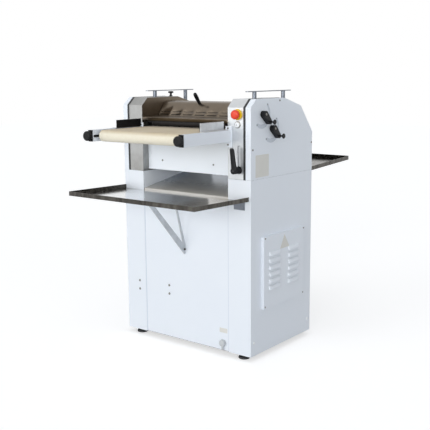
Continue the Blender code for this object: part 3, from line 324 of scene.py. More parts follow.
def prism(loops, axis, start, end):
    # Each loop of the outline stands at both ends, the caps are its flat fill, and the sides join the ends.
    lanes = {"X": (1, 2, 0), "Y": (0, 2, 1), "Z": (0, 1, 2)}[axis]
    flat = [(u, v) for loop in loops for u, v in loop]
    count = len(flat)
    points = np.zeros((2 * count, 3))
    points[:, lanes[:2]] = flat * 2
    points[:count, lanes[2]], points[count:, lanes[2]] = start, end
    faces = []
    for a, b, c in tessellate_polygon([[Vector((u, v, 0.0)) for u, v in loop] for loop in loops]):
        faces += [(a, b, c), (a + count, c + count, b + count)]
    first = 0
    for loop in loops:
        for i in range(len(loop)):
            a, b = first + i, first + (i + 1) % len(loop)
            faces.append((a, b, b + count, a + count))
        first += len(loop)
    return points, faces


def mirrored(loops, inner, outer):
    # The same prism at both sides of the middle plane, between two distances from it.
    return [prism(loops, "X", *sorted((side * inner, side * outer))) for side in (-1, 1)]


def arcPoints(centre, radius, start, end, pieces):
    angles = np.radians(np.linspace(start, end, pieces + 1))
    return [(centre[0] + radius * math.cos(a), centre[1] + radius * math.sin(a)) for a in angles]


def roundedRectangle(low, high, radius, pieces=6):
    corners = ((high[0], high[1], 0), (low[0], high[1], 90), (low[0], low[1], 180), (high[0], low[1], 270))
    outline = []
    for (x, y, turn), inX, inY in zip(corners, (-1, 1, 1, -1), (-1, -1, 1, 1)):
        outline += arcPoints((x + inX * radius, y + inY * radius), radius, turn, turn + 90, pieces)
    return outline


def softenEdges(piece, width, segments=2):
    edge = piece.modifiers.new("Edges", "BEVEL")
    edge.width, edge.segments, edge.limit_method = width, segments, "ANGLE"
    edge.angle_limit, edge.use_clamp_overlap, edge.harden_normals = edgeAngle, True, True


def addPiece(name, parts, finish, body="machine", replaced=(), bevel=0.0, segments=2, thickness=0.0):
    # The parts become one mesh at its place, with doubles merged, faces turned outward and corners left sharp.
    points, faces, first = [], [], 0
    for vertices, polygons in parts:
        points.append(vertices)
        faces += [tuple(i + first for i in face) for face in polygons]
        first += len(vertices)
    mesh = bpy.data.meshes.new(name)
    mesh.from_pydata((np.concatenate(points) + origin).tolist(), [], faces)
    shape = bmesh.new()
    shape.from_mesh(mesh)
    bmesh.ops.remove_doubles(shape, verts=shape.verts, dist=1e-6)
    bmesh.ops.dissolve_degenerate(shape, edges=shape.edges, dist=1e-7)
    bmesh.ops.recalc_face_normals(shape, faces=shape.faces)
    for face in shape.faces:
        face.smooth = True
    for edge in shape.edges:
        edge.smooth = len(edge.link_faces) != 2 or edge.calc_face_angle(0.0) < edgeAngle
    shape.to_mesh(mesh)
    shape.free()
    mesh.materials.append(finishes[finish])
    piece = bpy.data.objects.new(name, mesh)
    bpy.context.scene.collection.objects.link(piece)
    if thickness:
        shell = piece.modifiers.new("Sheet", "SOLIDIFY")
        shell.thickness, shell.offset = thickness, -1.0
    if bevel:
        softenEdges(piece, bevel, segments)
    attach(piece, body)
    if replaced:
        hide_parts(*replaced)
    return piece


# The folded sheets keep their CAD shape. A weld joins the triangles' corners, and a narrow bevel gives each cut or
# folded edge the radius that catches a line of light.
edgeWidths = {
    "column_cover": 0.0012, "outer_cover": 0.0014, "inner_housing": 0.001, "front_panel": 0.001,
    "rear_panel": 0.001, "infeed_arm": 0.001, "front_guard": 0.0008, "louvre_cover": 0.0008,
    "end_bracket": 0.0012, "base_frame": 0.0015, "other": 0.0006,
}
# The right inner housing gets the lighter satin steel as painted light; the left one, the same steel in shade, keeps
# its grey.
nodeFinishes = {
    "side_guide_left": "satin_steel", "side_guide_right": "satin_steel", "front_brace": "satin_steel",
    "rear_brace": "satin_steel", "front_hook_left": "bar_steel", "front_hook_right": "bar_steel",
    "rear_hook_rail": "tray_steel", "inner_housing_right": "light_steel",
}
for nodeName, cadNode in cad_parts.items():
    for place, entry in enumerate(cadNode.material_slots):
        cadNode.data.materials[place] = finishes[nodeFinishes.get(nodeName, entry.material.name)]
    for polygon in cadNode.data.polygons:
        polygon.use_smooth = True
    cadNode.modifiers.new("Weld", "WELD").merge_threshold = 1e-5
    kind = nodeName.removesuffix("_left").removesuffix("_right")
    softenEdges(cadNode, edgeWidths.get(kind, edgeWidths["other"]))
    flat = cadNode.modifiers.new("FlatFaces", "WEIGHTED_NORMAL")
    flat.mode, flat.weight, flat.keep_sharp = "FACE_AREA", 100, True
print("stage: CAD nodes finished")


# Screw heads are lofted from flat rings, each at its height. The reach of a ring is one number or one for each angle.
def flatRing(reach, sides=screwSides):
    angles = turnSteps(sides)
    return np.stack([reach * np.cos(angles), reach * np.sin(angles)], -1)


def hexagonRing(corner, sides=screwSides):
    # The distance to a hexagon's side is its apothem over the cosine of the angle from that side's middle.
    half = math.pi / 6
    return flatRing(corner * math.cos(half) / np.cos((turnSteps(sides) % (2 * half)) - half), sides)


def plusRing(reach):
    # The outline of a plus sign: the nearer of its arm's end and its arm's side, which is 0.3 of the reach away.
    angles = turnSteps(screwSides)
    steps = np.abs(np.stack([np.cos(angles), np.sin(angles)]))
    return flatRing(np.minimum(reach / steps.max(0), reach * 0.3 / np.maximum(steps.min(0), 1e-6)))


def loftRings(rings):
    stood = [np.column_stack([ring, np.full(len(ring), height)]) for ring, height in rings]
    return cappedTube(stood, (0.0, 0.0, rings[0][1]), (0.0, 0.0, rings[-1][1]))


def socketHead(radius, height, socket):
    # Rings go from the rim over the dome to a hexagon's corners, then down to the socket's floor.
    rim, hexagon = flatRing(radius), hexagonRing(socket)
    return loftRings([
        (rim, 0.0), (rim, height * 0.55), (flatRing(radius * 0.93), height * 0.85),
        (flatRing(radius * 0.8), height), (hexagon, height), (hexagon, height * 0.25),
    ])


def crossHead(radius, height, recess):
    # Rings go from the rim over the dome to a plus sign, then down to the recess's floor.
    rim, plus = flatRing(radius), plusRing(recess)
    return loftRings([
        (rim, 0.0), (rim, height * 0.3), (flatRing(radius * 0.9), height * 0.72),
        (flatRing(radius * 0.7), height), (plus, height), (plus * 0.8, height * 0.2),
    ])


# Cabinet screws: each group's head, the way it faces, the skin it stands on and its places along and up the skin.
cabinetScrews = {
    "column": (crossHead(0.0078, 0.0032, 0.0042), "-Y", 0.0, ((-0.392, 0.365), (-0.392, 0.309))),
    "panel": (crossHead(0.0078, 0.0032, 0.0042), "-Y", 0.003, ((-0.138, 0.372), (-0.138, 0.317))),
    "guard": (crossHead(0.006, 0.0028, 0.0034), "-Y", 0.05, ((-0.217, 1.161), (0.19, 1.158))),
    "cover": (socketHead(0.0055, 0.0032, 0.0026), "X", halfWidth,
              ((0.293, 1.536), (0.656, 1.263), (0.018, 1.264))),
    "louvre": (crossHead(0.0055, 0.0026, 0.0032), "X", 0.521,
               ((0.118, 0.316), (0.54, 0.316), (0.118, 0.735), (0.54, 0.735))),
    "footPlate": (socketHead(0.0058, 0.0045, 0.0029), "-Y", -0.0063,
                  ((-0.343, 1.384), (0.343, 1.384), (-0.343, 1.29), (0.343, 1.29))),
}
parts = []
for head, direction, skin, places in cabinetScrews.values():
    for along, z in places:
        parts.append(aim(head, (skin, along, z) if direction == "X" else (along, skin, z), direction))
addPiece("panelScrewHeads", parts, "screw_zinc", bevel=0.0003)

screwCap = {
    "places": ((0.032, 0.112), (0.629, 0.114)), "sides": 40,
    "dome": [(0, 0), (9.5, 0), (9.5, 1.2), (7.5, 3.6), (4, 4.6), (0, 4.8)],
}
dome = lathe(screwCap["dome"], screwCap["sides"])
addPiece("screwCaps", [aim(dome, (halfWidth, y, z), "X") for y, z in screwCap["places"]], "white_plastic")
print("stage: screws")

# Louvres: each is a scoop pressed out of the cover, a quarter sine wave from its top edge to its open lower lip, and
# its ends close as the square root of one less the eighth power of the distance from its middle.
louvre = {
    "columns": (0.2195, 0.426), "firstRow": 0.418, "rows": 6, "pitch": 0.0415, "length": 0.124, "rise": 0.027,
    "slot": 0.0045, "reach": 0.0115, "skin": 0.521, "across": 22, "up": 8, "sheet": 0.0012,
}
u, v = np.meshgrid(np.linspace(-1, 1, louvre["across"]), np.linspace(0, 1, louvre["up"]), indexing="ij")
ends = np.sqrt(np.clip(1 - np.abs(u) ** 8, 0, 1))
scoop = np.stack([
    louvre["reach"] * np.sin(v * math.pi / 2) * ends, u * louvre["length"] / 2, -v * louvre["rise"],
], -1).reshape(-1, 3)
scoopFaces = gridFaces(louvre["across"], louvre["up"], closed=False)
tops = louvre["firstRow"] + louvre["rise"] - louvre["slot"] + louvre["pitch"] * np.arange(louvre["rows"])
parts = [(scoop + np.array((louvre["skin"], y, top)), scoopFaces) for y in louvre["columns"] for top in tops]
addPiece("louvreScoops", parts, "white_paint", thickness=louvre["sheet"])
print("stage: louvres")

# Blank plates: the warning triangle, the instruction plate and the small plate by the gland have no print.
blankPlates = {
    "warningPlate": ([(0.323, 0.73), (0.276, 0.647), (0.379, 0.646)], "X", 0.5211, 0.5216),
    "instructionPlate": (roundedRectangle((0.046, 1.102), (0.18, 1.231), 0.004), "X", 0.5001, 0.5008),
    "smallPlate": (roundedRectangle((0.265, 0.144), (0.324, 0.173), 0.003), "Y", 0.0022, 0.0029),
}
for name, (outline, axis, low, high) in blankPlates.items():
    addPiece(name, [prism([outline], axis, low, high)], "blank_label", bevel=0.0002)

# Feet: a rubber pad, wider at the floor, under a zinc hexagon nut and its stud.
foot = {
    "across": {"Left": -0.42, "Right": 0.42}, "along": {"Front": 0.045, "Rear": 0.62},
    "pad": [(0, 0), (33.5, 0), (36, 2.2), (35.5, 9), (32.5, 13.5), (21, 16), (0, 16)],
    "nutCorner": 0.015, "nut": (0.0155, 0.024), "stud": (0.008, 0.015, 0.03),
}
nut = loftRings([(hexagonRing(foot["nutCorner"]), height) for height in foot["nut"]])
pad, stud = lathe(foot["pad"]), rod(*foot["stud"], 32)
for side, x in foot["across"].items():
    for end, y in foot["along"].items():
        place, node = (x, y, 0.0), ("foot_" + end + "_" + side).lower()
        addPiece("foot" + end + side, [aim(pad, place)], "black_rubber", replaced=(node,), bevel=0.0008)
        addPiece("footNut" + end + side, [aim(nut, place), aim(stud, place)], "screw_zinc", bevel=0.0005)
print("stage: plates and feet")

# Bars that carry trays on the head: a flat bar with round ends on two turned posts. Each post stands on the head's
# outline, whose corners are given as their Y and their Z, and the rear one goes on into the slope.
bar = {
    "x": 0.3937, "front": 0.105, "rear": 0.5685, "top": 1.5922, "thickness": 0.005, "half": 0.013,
    "posts": {0.185: 0.0, 0.49: -0.012}, "postRadius": 0.0125, "screwDrop": 0.0009,
    "headOutline": ((0.0, 0.052, 0.346, 0.527, 0.665), (1.503, 1.55, 1.55, 1.499, 1.334)),
}
barFloor = bar["top"] - bar["thickness"]
for name, side in bothSides.items():
    x = side * bar["x"]
    outline = (arcPoints((x, bar["front"] + bar["half"]), bar["half"], 180, 360, 16)
               + arcPoints((x, bar["rear"] - bar["half"]), bar["half"], 0, 180, 16))
    parts, screws = [prism([outline], "Z", barFloor, bar["top"])], []
    for y, sunk in bar["posts"].items():
        low = float(np.interp(y, *bar["headOutline"]))
        parts.append(aim(rod(bar["postRadius"], sunk, barFloor - low, 48), (x, y, low)))
        screws.append(aim(crossHead(0.0062, 0.0008, 0.0036), (x, y, bar["top"] - bar["screwDrop"])))
    addPiece("trayBar" + name, parts, "bar_steel", replaced=("tray_support_" + name.lower(),),
             bevel=0.001, segments=3)
    addPiece("trayBarScrews" + name, screws, "screw_zinc")

# Knobs: fluted grips on the belt's two tensioners and on the head's lock.
tensionKnob = {
    "x": 0.35, "y": -0.4333, "z": 1.3404, "flutes": (16, 0.075, 0.01, 0.0325),
    "profile": [(5, -35), (5, 0.3), (14.5, 0.4), (14.5, 8), (27, 10.5), (29, 13), (29, 27), (28, 30.5), (24.5, 33),
        (19, 34), (15, 33.8), (14.5, 32.8), (0, 32.8)],
}
knob = lathe(tensionKnob["profile"], 96, fluted(*tensionKnob["flutes"]))
for name, side in bothSides.items():
    place, node = (side * tensionKnob["x"], tensionKnob["y"], tensionKnob["z"]), "tension_knob_" + name.lower()
    addPiece("tensionKnob" + name, [aim(knob, place, "-Y")], "black_plastic", node, (node,), bevel=0.0006)
lockKnob = {
    "place": (-0.4, 0.348, 1.5503), "flutes": (8, 0.1, 0.02, 0.031),
    "profile": [(12, 0), (12, 3.5), (7, 4.5), (7, 18.5), (16.5, 20.5), (18, 22.5), (18, 27.5), (16, 30.5), (10, 32),
        (0, 32)],
}
knob = lathe(lockKnob["profile"], 80, fluted(*lockKnob["flutes"]))
addPiece("lockKnob", [aim(knob, lockKnob["place"])], "black_plastic", "lock_knob", ("lock_knob",), bevel=0.0006)
print("stage: tray bars and knobs")

# Controls: a mushroom with a finger groove on its yellow disc, and a plain push button in a turned steel bezel.
control = {
    "stop": (0.408, -0.0003, 1.464), "start": (0.408, -0.0003, 1.406), "grooves": (24, 0.025, 0.0184, 0.026),
    "disc": [(12.6, 0), (31, 0), (31, 6.2), (29.8, 8.2), (27, 9), (12.6, 9), (12.6, 0)],
    "mushroom": [(0, -12), (12, -12), (12, 15), (17.5, 16.5), (25, 18.5), (26.8, 20.5), (27, 25), (26.6, 30),
        (25, 33.5), (21.5, 36.2), (16, 38), (10, 38.8), (0, 39)],
    "bezel": [(16.1, 0), (20, 0), (20, 3), (18.8, 5.2), (17, 5.8), (16.1, 5), (16.1, 0)],
    "cap": [(0, -10), (15.5, -10), (15.5, 7), (14.8, 8.5), (13, 9.3), (0, 9.5)],
    "markHalf": (0.0011, 0.0062), "markRadius": 0.0008, "mark": (-0.00985, -0.0094),
}
disc, bezel, cap = (lathe(control[part], sides) for part, sides in (("disc", 96), ("bezel", 72), ("cap", 72)))
mushroom = lathe(control["mushroom"], 96, fluted(*control["grooves"]))
addPiece("stopDisc", [aim(disc, control["stop"], "-Y")], "yellow_plastic", replaced=("estop_ring",), bevel=0.0005)
addPiece("stopButton", [aim(mushroom, control["stop"], "-Y")], "red_plastic", "estop_button", ("estop_button",))
addPiece("startBezel", [aim(bezel, control["start"], "-Y")], "roller_steel")
addPiece("startButton", [aim(cap, control["start"], "-Y")], "white_plastic", "start_button", ("start_button",))
middle, reach = np.array(control["start"])[[0, 2]], np.array(control["markHalf"])
outline = roundedRectangle(middle - reach, middle + reach, control["markRadius"], 3)
addPiece("startMark", [prism([outline], "Y", *control["mark"])], "ink", "start_button")

# Clamp: a white liner behind its slot, as painted light that shows the slot lit, a round hub with a screwed stud and
# a lever whose section is a superellipse. Each of the lever's stations holds its place from the hub and its two half
# widths.
clamp = {
    "x": 0.416, "z": 1.146, "linerHalf": 0.018, "liner": (1.119, 1.298), "linerSkin": (0.0108, 0.0118),
    "hubY": -0.0003, "leverY": -0.0503, "leverHubY": -0.0426, "screwY": -0.0584,
    "hub": [(0, 42), (18.5, 42), (19, 41), (19, 5), (22, 4), (22, 0), (7, 0), (7, -2.6), (15, -2.6), (15, -10),
        (0, -10)],
    "leverHub": [(0, 0), (18.8, 0), (19, 1), (19, 14), (17.2, 15.8), (0, 16)],
    "lever": [
        (0.003, 0.0, 0.004, 0.0188, 0.0078), (0.001, 0.0, 0.026, 0.0178, 0.0078),
        (-0.003, 0.0, 0.05, 0.0164, 0.0076), (-0.007, 0.0, 0.08, 0.0152, 0.0074),
        (-0.01, 0.0, 0.104, 0.0146, 0.0074), (-0.012, 0.0, 0.119, 0.0138, 0.0072),
        (-0.013, 0.0, 0.1265, 0.0116, 0.006), (-0.013, 0.0, 0.1296, 0.0074, 0.0036),
    ],
}
outline = roundedRectangle((clamp["x"] - clamp["linerHalf"], clamp["liner"][0]),
                           (clamp["x"] + clamp["linerHalf"], clamp["liner"][1]), 0.004)
# The liner is white as painted light, so that the slot shows lit.
addPiece("slotPaintedLightLiner", [prism([outline], "Y", *clamp["linerSkin"])], "white_plastic")


def taperedBar(stations, sides=32, power=3.2):
    # The section is a superellipse: its reach is one over the power's root of the sum of cosine and sine, each raised
    # to the power.
    cos, sin = flatRing(1.0, sides).T
    reach = (np.abs(cos) ** power + np.abs(sin) ** power) ** (-1 / power)
    rings = [np.stack([wide * reach * cos + x, deep * reach * sin + y, np.full(sides, z)], -1)
             for x, y, z, wide, deep in stations]
    return cappedTube(rings, stations[0][:3], stations[-1][:3])


def onClamp(part, y, direction="-Y"):
    return aim(part, (clamp["x"], y, clamp["z"]), direction)


addPiece("clampHub", [onClamp(lathe(clamp["hub"]), clamp["hubY"])], "black_plastic", "clamp_slider", ("clamp_stud",),
         bevel=0.0006)
lever = onClamp(taperedBar(clamp["lever"]), clamp["leverY"], "Z")
leverHub = onClamp(lathe(clamp["leverHub"]), clamp["leverHubY"])
addPiece("clampLever", [lever, leverHub], "black_plastic", "clamp_lever", ("clamp_lever",), bevel=0.0006)
addPiece("clampScrew", [onClamp(socketHead(0.0068, 0.0012, 0.003), clamp["screwY"])], "black_plate", "clamp_lever")
print("stage: controls")

# Cranks: a moulded arm between two round ends, a domed screw at its hub, and a spring plunger with a knurled head.
crank = {
    "pivots": {"Upper": (0.11, 1.463), "Lower": (0.204, 1.377)}, "x": 0.5006, "gap": 0.0022, "length": 0.064,
    "hub": 0.02, "end": 0.014, "thickness": 0.03, "heading": -45.0, "shaft": (0.008, -0.052, 0.0032),
    "screwSunk": 0.0004, "knurls": (24, 0.05, 0.054, 0.06),
    "plunger": [(0, 1), (5, 1), (5, 49), (7.5, 50), (8, 53.5), (13.5, 54.2), (15, 55.2), (15, 59), (14.2, 60.2),
        (9, 60.5), (0, 60.5)],
}


def tangentOutline(first, firstRadius, second, secondRadius, pieces=28):
    # Two circles joined by their outer tangents, which lean from the line of centres by the arc cosine of the radii's
    # difference over the distance.
    line = np.array(second) - np.array(first)
    heading = math.degrees(math.atan2(line[1], line[0]))
    spread = math.degrees(math.acos((firstRadius - secondRadius) / np.hypot(*line)))
    return (arcPoints(first, firstRadius, heading + spread, heading + 360 - spread, pieces)
            + arcPoints(second, secondRadius, heading - spread, heading + spread, pieces))


def polar(centre, radius, degrees):
    angle = math.radians(degrees)
    return centre[0] + radius * math.cos(angle), centre[1] + radius * math.sin(angle)


shaft = rod(*crank["shaft"], 40)
plunger = lathe(crank["plunger"], 96, fluted(*crank["knurls"]))
face = crank["x"] + crank["thickness"]
for name, pivot in crank["pivots"].items():
    node, end = "crank_" + name.lower(), polar(pivot, crank["length"], crank["heading"])
    arm = prism([tangentOutline(pivot, crank["hub"], end, crank["end"])], "X", crank["x"] + crank["gap"], face)
    addPiece("crankArm" + name, [arm], "black_plastic", node, (node,), bevel=0.0042, segments=5)
    addPiece("crankShaft" + name, [aim(shaft, (crank["x"], *pivot), "X")], "roller_steel", node, bevel=0.0004)
    screw = aim(socketHead(0.007, 0.0042, 0.0034), (face - crank["screwSunk"], *pivot), "X")
    addPiece("crankScrew" + name, [screw], "screw_zinc", node, bevel=0.0003)
    node = "plunger_" + name.lower()
    addPiece("plungerKnob" + name, [aim(plunger, (crank["x"], *end), "X")], "black_plastic", node, (node,),
             bevel=0.0003)
print("stage: cranks")

# Printed scales behind the cranks: a crescent whose inner edge goes from 69 mm through 65.5 and 57 to 64 mm, eleven
# ticks without numbers, and a round lug with a screw at each end.
scale = {
    "start": 44.0, "end": -130.0, "outer": 0.083, "skin": 0.5002, "rise": 0.0003, "steps": 60,
    "inner": ((0.0, 0.35, 0.75, 1.0), (0.069, 0.0655, 0.057, 0.064)), "lugAt": 0.077, "lugRadius": 0.0085,
    "lugRise": 0.00045, "ticks": (20.0, -118.0, 11), "tickHalf": 0.00035, "inkRise": 0.0001,
    "short": (0.0765, 0.0815), "long": (0.075, 0.0818), "longEvery": 5,
}
printed = scale["skin"] + scale["rise"]
for name, pivot in crank["pivots"].items():
    turns = np.linspace(scale["start"], scale["end"], scale["steps"])
    inner = np.interp(np.linspace(0, 1, scale["steps"]), *scale["inner"])
    outline = arcPoints(pivot, scale["outer"], scale["start"], scale["end"], scale["steps"] - 1)
    outline += [polar(pivot, radius, turn) for turn, radius in zip(turns[::-1], inner[::-1])]
    band, bolts, ticks = [prism([outline], "X", scale["skin"], printed)], [], []
    for turn in (scale["start"], scale["end"]):
        place = polar(pivot, scale["lugAt"], turn)
        band.append(aim(rod(scale["lugRadius"], 0.0, scale["lugRise"], 32), (scale["skin"], *place), "X"))
        bolts.append(aim(socketHead(0.0036, 0.0016, 0.0018), (scale["skin"] + scale["lugRise"], *place), "X"))
    for i, turn in enumerate(np.linspace(*scale["ticks"])):
        near, far = (np.array(polar(pivot, r, turn)) for r in scale["short" if i % scale["longEvery"] else "long"])
        across = np.array(polar((0.0, 0.0), scale["tickHalf"], turn + 90))
        corners = [tuple(corner) for corner in (near - across, near + across, far + across, far - across)]
        ticks.append(prism([corners], "X", printed, printed + scale["inkRise"]))
    addPiece("scaleBand" + name, band, "scale_print")
    addPiece("scaleTicks" + name, ticks, "ink")
    addPiece("scaleScrews" + name, bolts, "screw_zinc")
print("stage: scales")

# Belt: the outline is two half circles round the rollers' axes joined by straight runs. It stands outside and inside
# at each edge of the belt, and the first of these rings comes again to close the section.
belt = {"half": 0.315, "nose": -0.361, "drive": 0.075, "z": 1.338, "outer": 0.034, "inner": 0.0315, "pieces": 40}


def beltRing(x, radius):
    outline = (arcPoints((belt["nose"], belt["z"]), radius, 90, 270, belt["pieces"])
               + arcPoints((belt["drive"], belt["z"]), radius, -90, 90, belt["pieces"]))
    return np.array([(x, y, z) for y, z in outline])


corners = [(-1, "outer"), (-1, "inner"), (1, "inner"), (1, "outer"), (-1, "outer")]
rings = [beltRing(side * belt["half"], belt[skin]) for side, skin in corners]
addPiece("conveyorBelt", [(np.concatenate(rings), gridFaces(len(rings), len(rings[0])))], "felt_belt",
         replaced=("infeed_belt",), bevel=0.0007)

# The belt's joint: a row of wire hooks across its underside, each a short loop over the two cut ends, and their pin.
lacing = {
    "first": -0.305, "last": 0.306, "pitch": 0.0122, "width": 0.0022, "hookY": (-0.206, -0.194),
    "hookZ": (1.3031, 1.3041), "pin": ((-0.309, -0.2004, 1.3029), (0.309, -0.1996, 1.3037)),
}
hooks = []
for x in np.arange(lacing["first"], lacing["last"], lacing["pitch"]):
    low, high = zip((x, x + lacing["width"]), lacing["hookY"], lacing["hookZ"])
    hooks.append(cuboid(low, high))
addPiece("beltLacing", [*hooks, cuboid(*lacing["pin"])], "screw_zinc")

# Rollers: turned barrels with a chamfer at each end of the face and their shafts. Each has its name, finish, radius,
# half width, shaft radius, the shaft's reach to either side, and its place.
rollerChamfer = 0.0015
rollers = {
    "nose_roller": ("noseRoller", "roller_steel", 0.031, 0.317, 0.008, 0.348, belt["nose"], belt["z"]),
    "infeed_drive_roller": ("driveRoller", "roller_steel", 0.031, 0.317, 0.01, 0.4615, belt["drive"], belt["z"]),
    "feed_roller": ("feedRoller", "black_rubber", 0.0245, 0.29, 0.01, 0.4615, 0.06, 1.402),
    "upper_sheeting_roller": ("upperSheetingRoller", "roller_steel", 0.03, 0.333, 0.01, 0.4615, 0.175, 1.403),
}
for node, (name, finish, radius, half, shaft, reach, y, z) in rollers.items():
    rightHalf = [(radius, half - rollerChamfer), (radius - rollerChamfer, half), (shaft, half), (shaft, reach),
                 (0.0, reach)]
    barrel = [(out, -along) for out, along in rightHalf[::-1]] + rightHalf
    addPiece(name, [aim(lathe(barrel, 96, unit=1.0), (0.0, y, z), "X")], finish, node, (node,))
print("stage: belt and rollers")

# Plastic collars on the nose roller's axle, which show inside the arms beside the belt.
collar = {
    "x": 0.326, "half": 0.006,
    "profile": [(8.2, 0), (15, 0), (15, 12), (8.2, 12), (8.2, 0)],
}
collars = [aim(lathe(collar["profile"], 48), (side * collar["x"] - collar["half"], belt["nose"], belt["z"]), "X")
           for side in bothSides.values()]
addPiece("noseCollars", collars, "black_plastic", "nose_roller")

# Guide linings: black plastic boards on the side guides' inner faces, held by two screws each.
guide = {
    "front": -0.239, "rear": -0.027, "low": 1.3755, "high": 1.4228, "face": 0.3249, "board": 0.003,
    "screwSkin": 0.322, "screws": ((-0.205, 1.4), (-0.06, 1.4)),
}
outline = roundedRectangle((guide["front"], guide["low"]), (guide["rear"], guide["high"]), 0.003)
linings = mirrored([outline], guide["face"] - guide["board"], guide["face"])
for (name, side), lining in zip(bothSides.items(), linings):
    addPiece("guideLining" + name, [lining], "black_plastic", bevel=0.0005)
    screws = [aim(crossHead(0.004, 0.0016, 0.0024), (side * guide["screwSkin"], *place), "-X" if side > 0 else "X")
              for place in guide["screws"]]
    addPiece("guideScrews" + name, screws, "black_plastic", bevel=0.0002)

# Hood: a front edge, a straight slope with two rows of slots, and a crown drawn as a smooth cubic. Each row of slots
# has its share of the slope and its height. The sheet is a grid of path by width without the slots' cells.
hood = {
    "reach": 0.3364, "sheet": 0.0015, "slots": 7, "pitch": 0.0965, "length": 0.076, "handleX": -0.04,
    "front": [(0.001, 1.411), (0.001, 1.43)], "slopeFoot": (0.148, 1.433),
    "crown": [(0.202, 1.5065), (0.214, 1.5155), (0.236, 1.521), (0.32, 1.521), (0.43, 1.503), (0.545, 1.451),
              (0.62, 1.361), (0.64, 1.2683)],
    "slotRows": ((0.12, 0.006), (0.36, 0.004)), "slotShadeHalf": 0.33,
    "slotShade": ((0.03, 0.0035), (0.52, 0.0035), (0.52, 0.0045), (0.03, 0.0045)),
    "handleGap": 0.0003, "rod": (0.006, -0.352, 0.352), "rodPlace": (0.0, 0.64, 1.262),
    "handle": [(0, 0), (9, 0), (9.5, 2), (9.8, 12), (11.2, 30), (12.1, 45), (12, 60), (11.2, 72), (9.4, 78),
        (6, 81.2), (0, 82)],
}
crown, slopeLow = np.array(hood["crown"]), np.array(hood["slopeFoot"])
rise = crown[0] - slopeLow
run = np.linalg.norm(rise)


def smoothPath(knots, pieces):
    # A Catmull-Rom cubic by chord length: each span's end slopes are those of the chord between its neighbours.
    lengths = np.concatenate([[0], np.cumsum(np.linalg.norm(np.diff(knots, axis=0), axis=1))])
    slopes = np.gradient(knots, lengths, axis=0)
    found = []
    for i in range(len(knots) - 1):
        span = lengths[i + 1] - lengths[i]
        t = np.linspace(0, 1, max(3, int(pieces * span / lengths[-1])) + 1)[:-1, None]
        found.append((2 * t ** 3 - 3 * t ** 2 + 1) * knots[i] + (t ** 3 - 2 * t ** 2 + t) * span * slopes[i]
                     + (-2 * t ** 3 + 3 * t ** 2) * knots[i + 1] + (t ** 3 - t ** 2) * span * slopes[i + 1])
    return np.concatenate(found + [knots[-1:]])


edges = [share + sign * height / 2 / run for share, height in hood["slotRows"] for sign in (-1, 1)]
path = np.concatenate([hood["front"], slopeLow + np.outer([0.0, *edges, 1.0], rise), smoothPath(crown, 70)[1:]])
slotBands = {len(hood["front"]) + 1 + 2 * row for row in range(len(hood["slotRows"]))}
slotStarts = (np.arange(hood["slots"]) - hood["slots"] // 2) * hood["pitch"] - hood["length"] / 2
xs = np.sort(np.concatenate([slotStarts, slotStarts + hood["length"], [-hood["reach"], hood["reach"]]]))
slotColumns = set(np.searchsorted(xs, slotStarts).tolist())
points = np.concatenate([np.column_stack([np.full(len(path), x), path]) for x in xs])
faces = [face for face in gridFaces(len(xs), len(path), closed=False)
         if face[0] // len(path) not in slotColumns or face[0] % len(path) not in slotBands]
hoodPiece = addPiece("hoodSheet", [(points, faces)], "hood_steel", "hood", ("hood",),
                     thickness=hood["sheet"])
hoodPiece.modifiers["Sheet"].offset = 1.0
# A black sheet behind the slots is painted shade, so that the slots read dark inside the hood.
inward = rise[::-1] * (1, -1) / run
slotShade = [tuple(slopeLow + rise * share + inward * deep) for share, deep in hood["slotShade"]]
addPiece("hoodSlotShade", [prism([slotShade], "X", -hood["slotShadeHalf"], hood["slotShadeHalf"])], "black_plastic", "hood")
lean = math.atan2(*(crown[1] - crown[0])[::-1])
handleFoot = (crown[0] + crown[1]) / 2 + np.array((-math.sin(lean), math.cos(lean))) * hood["handleGap"]
grip = aim(lathe(hood["handle"], 64), (hood["handleX"], *handleFoot), Matrix.Rotation(lean, 3, "X"))
addPiece("hoodHandle", [grip], "black_plastic", "hood", ("hood_handle",))
addPiece("hoodHinge", [aim(rod(*hood["rod"], 32), hood["rodPlace"], "X")], "roller_steel",
         replaced=("hood_hinge_rod",), bevel=0.0005)
print("stage: hood")

# Outlet: a steel floor that slides the pieces to the front, and white painted cheeks beside it.
chute = {
    "lipY": 0.003, "lipZ": 0.9815, "slope": 0.1667, "top": 1.0894, "rear": 0.651, "bottom": 0.9623,
    "half": 0.3344, "cheekFace": 0.3364,
}
rearZ = chute["lipZ"] + (chute["rear"] - chute["lipY"]) * chute["slope"]
floorOutline = [
    (chute["lipY"], chute["bottom"]), (chute["lipY"], chute["lipZ"]), (chute["rear"], rearZ),
    (chute["rear"], rearZ - 0.002), (chute["lipY"] + 0.002, chute["lipZ"] - 0.0018),
    (chute["lipY"] + 0.002, chute["bottom"]),
]
addPiece("outletFloor", [prism([floorOutline], "X", -chute["half"], chute["half"])], "outlet_steel",
         replaced=("outlet_chute",), bevel=0.0006)
cheek = [(chute["lipY"], chute["lipZ"] - 0.001), (chute["lipY"], chute["top"]), (chute["rear"], chute["top"]),
         (chute["rear"], rearZ - 0.001)]
addPiece("outletCheeks", mirrored([cheek], chute["half"], chute["cheekFace"]), "white_paint", bevel=0.0004)

# Seams where the front panel meets the columns: a low strip fills each corner, painted a pale grey-blue a little
# darker than the panel as the seam's shade line, so that no dark gap shows.
# Its section holds each corner's distance from the middle plane and its Y.
seam = {
    "low": 0.0345, "high": 0.961,
    "section": ((0.3369, 0.0008), (0.3355, 0.0022), (0.3321, 0.0024), (0.3321, 0.0029), (0.3369, 0.0029)),
}
shadeStrips = [prism([[(side * x, y) for x, y in seam["section"]]], "Z", seam["low"], seam["high"])
         for side in bothSides.values()]
addPiece("seamShadeStrips", shadeStrips, "seam_shade_paint", bevel=0.0002)

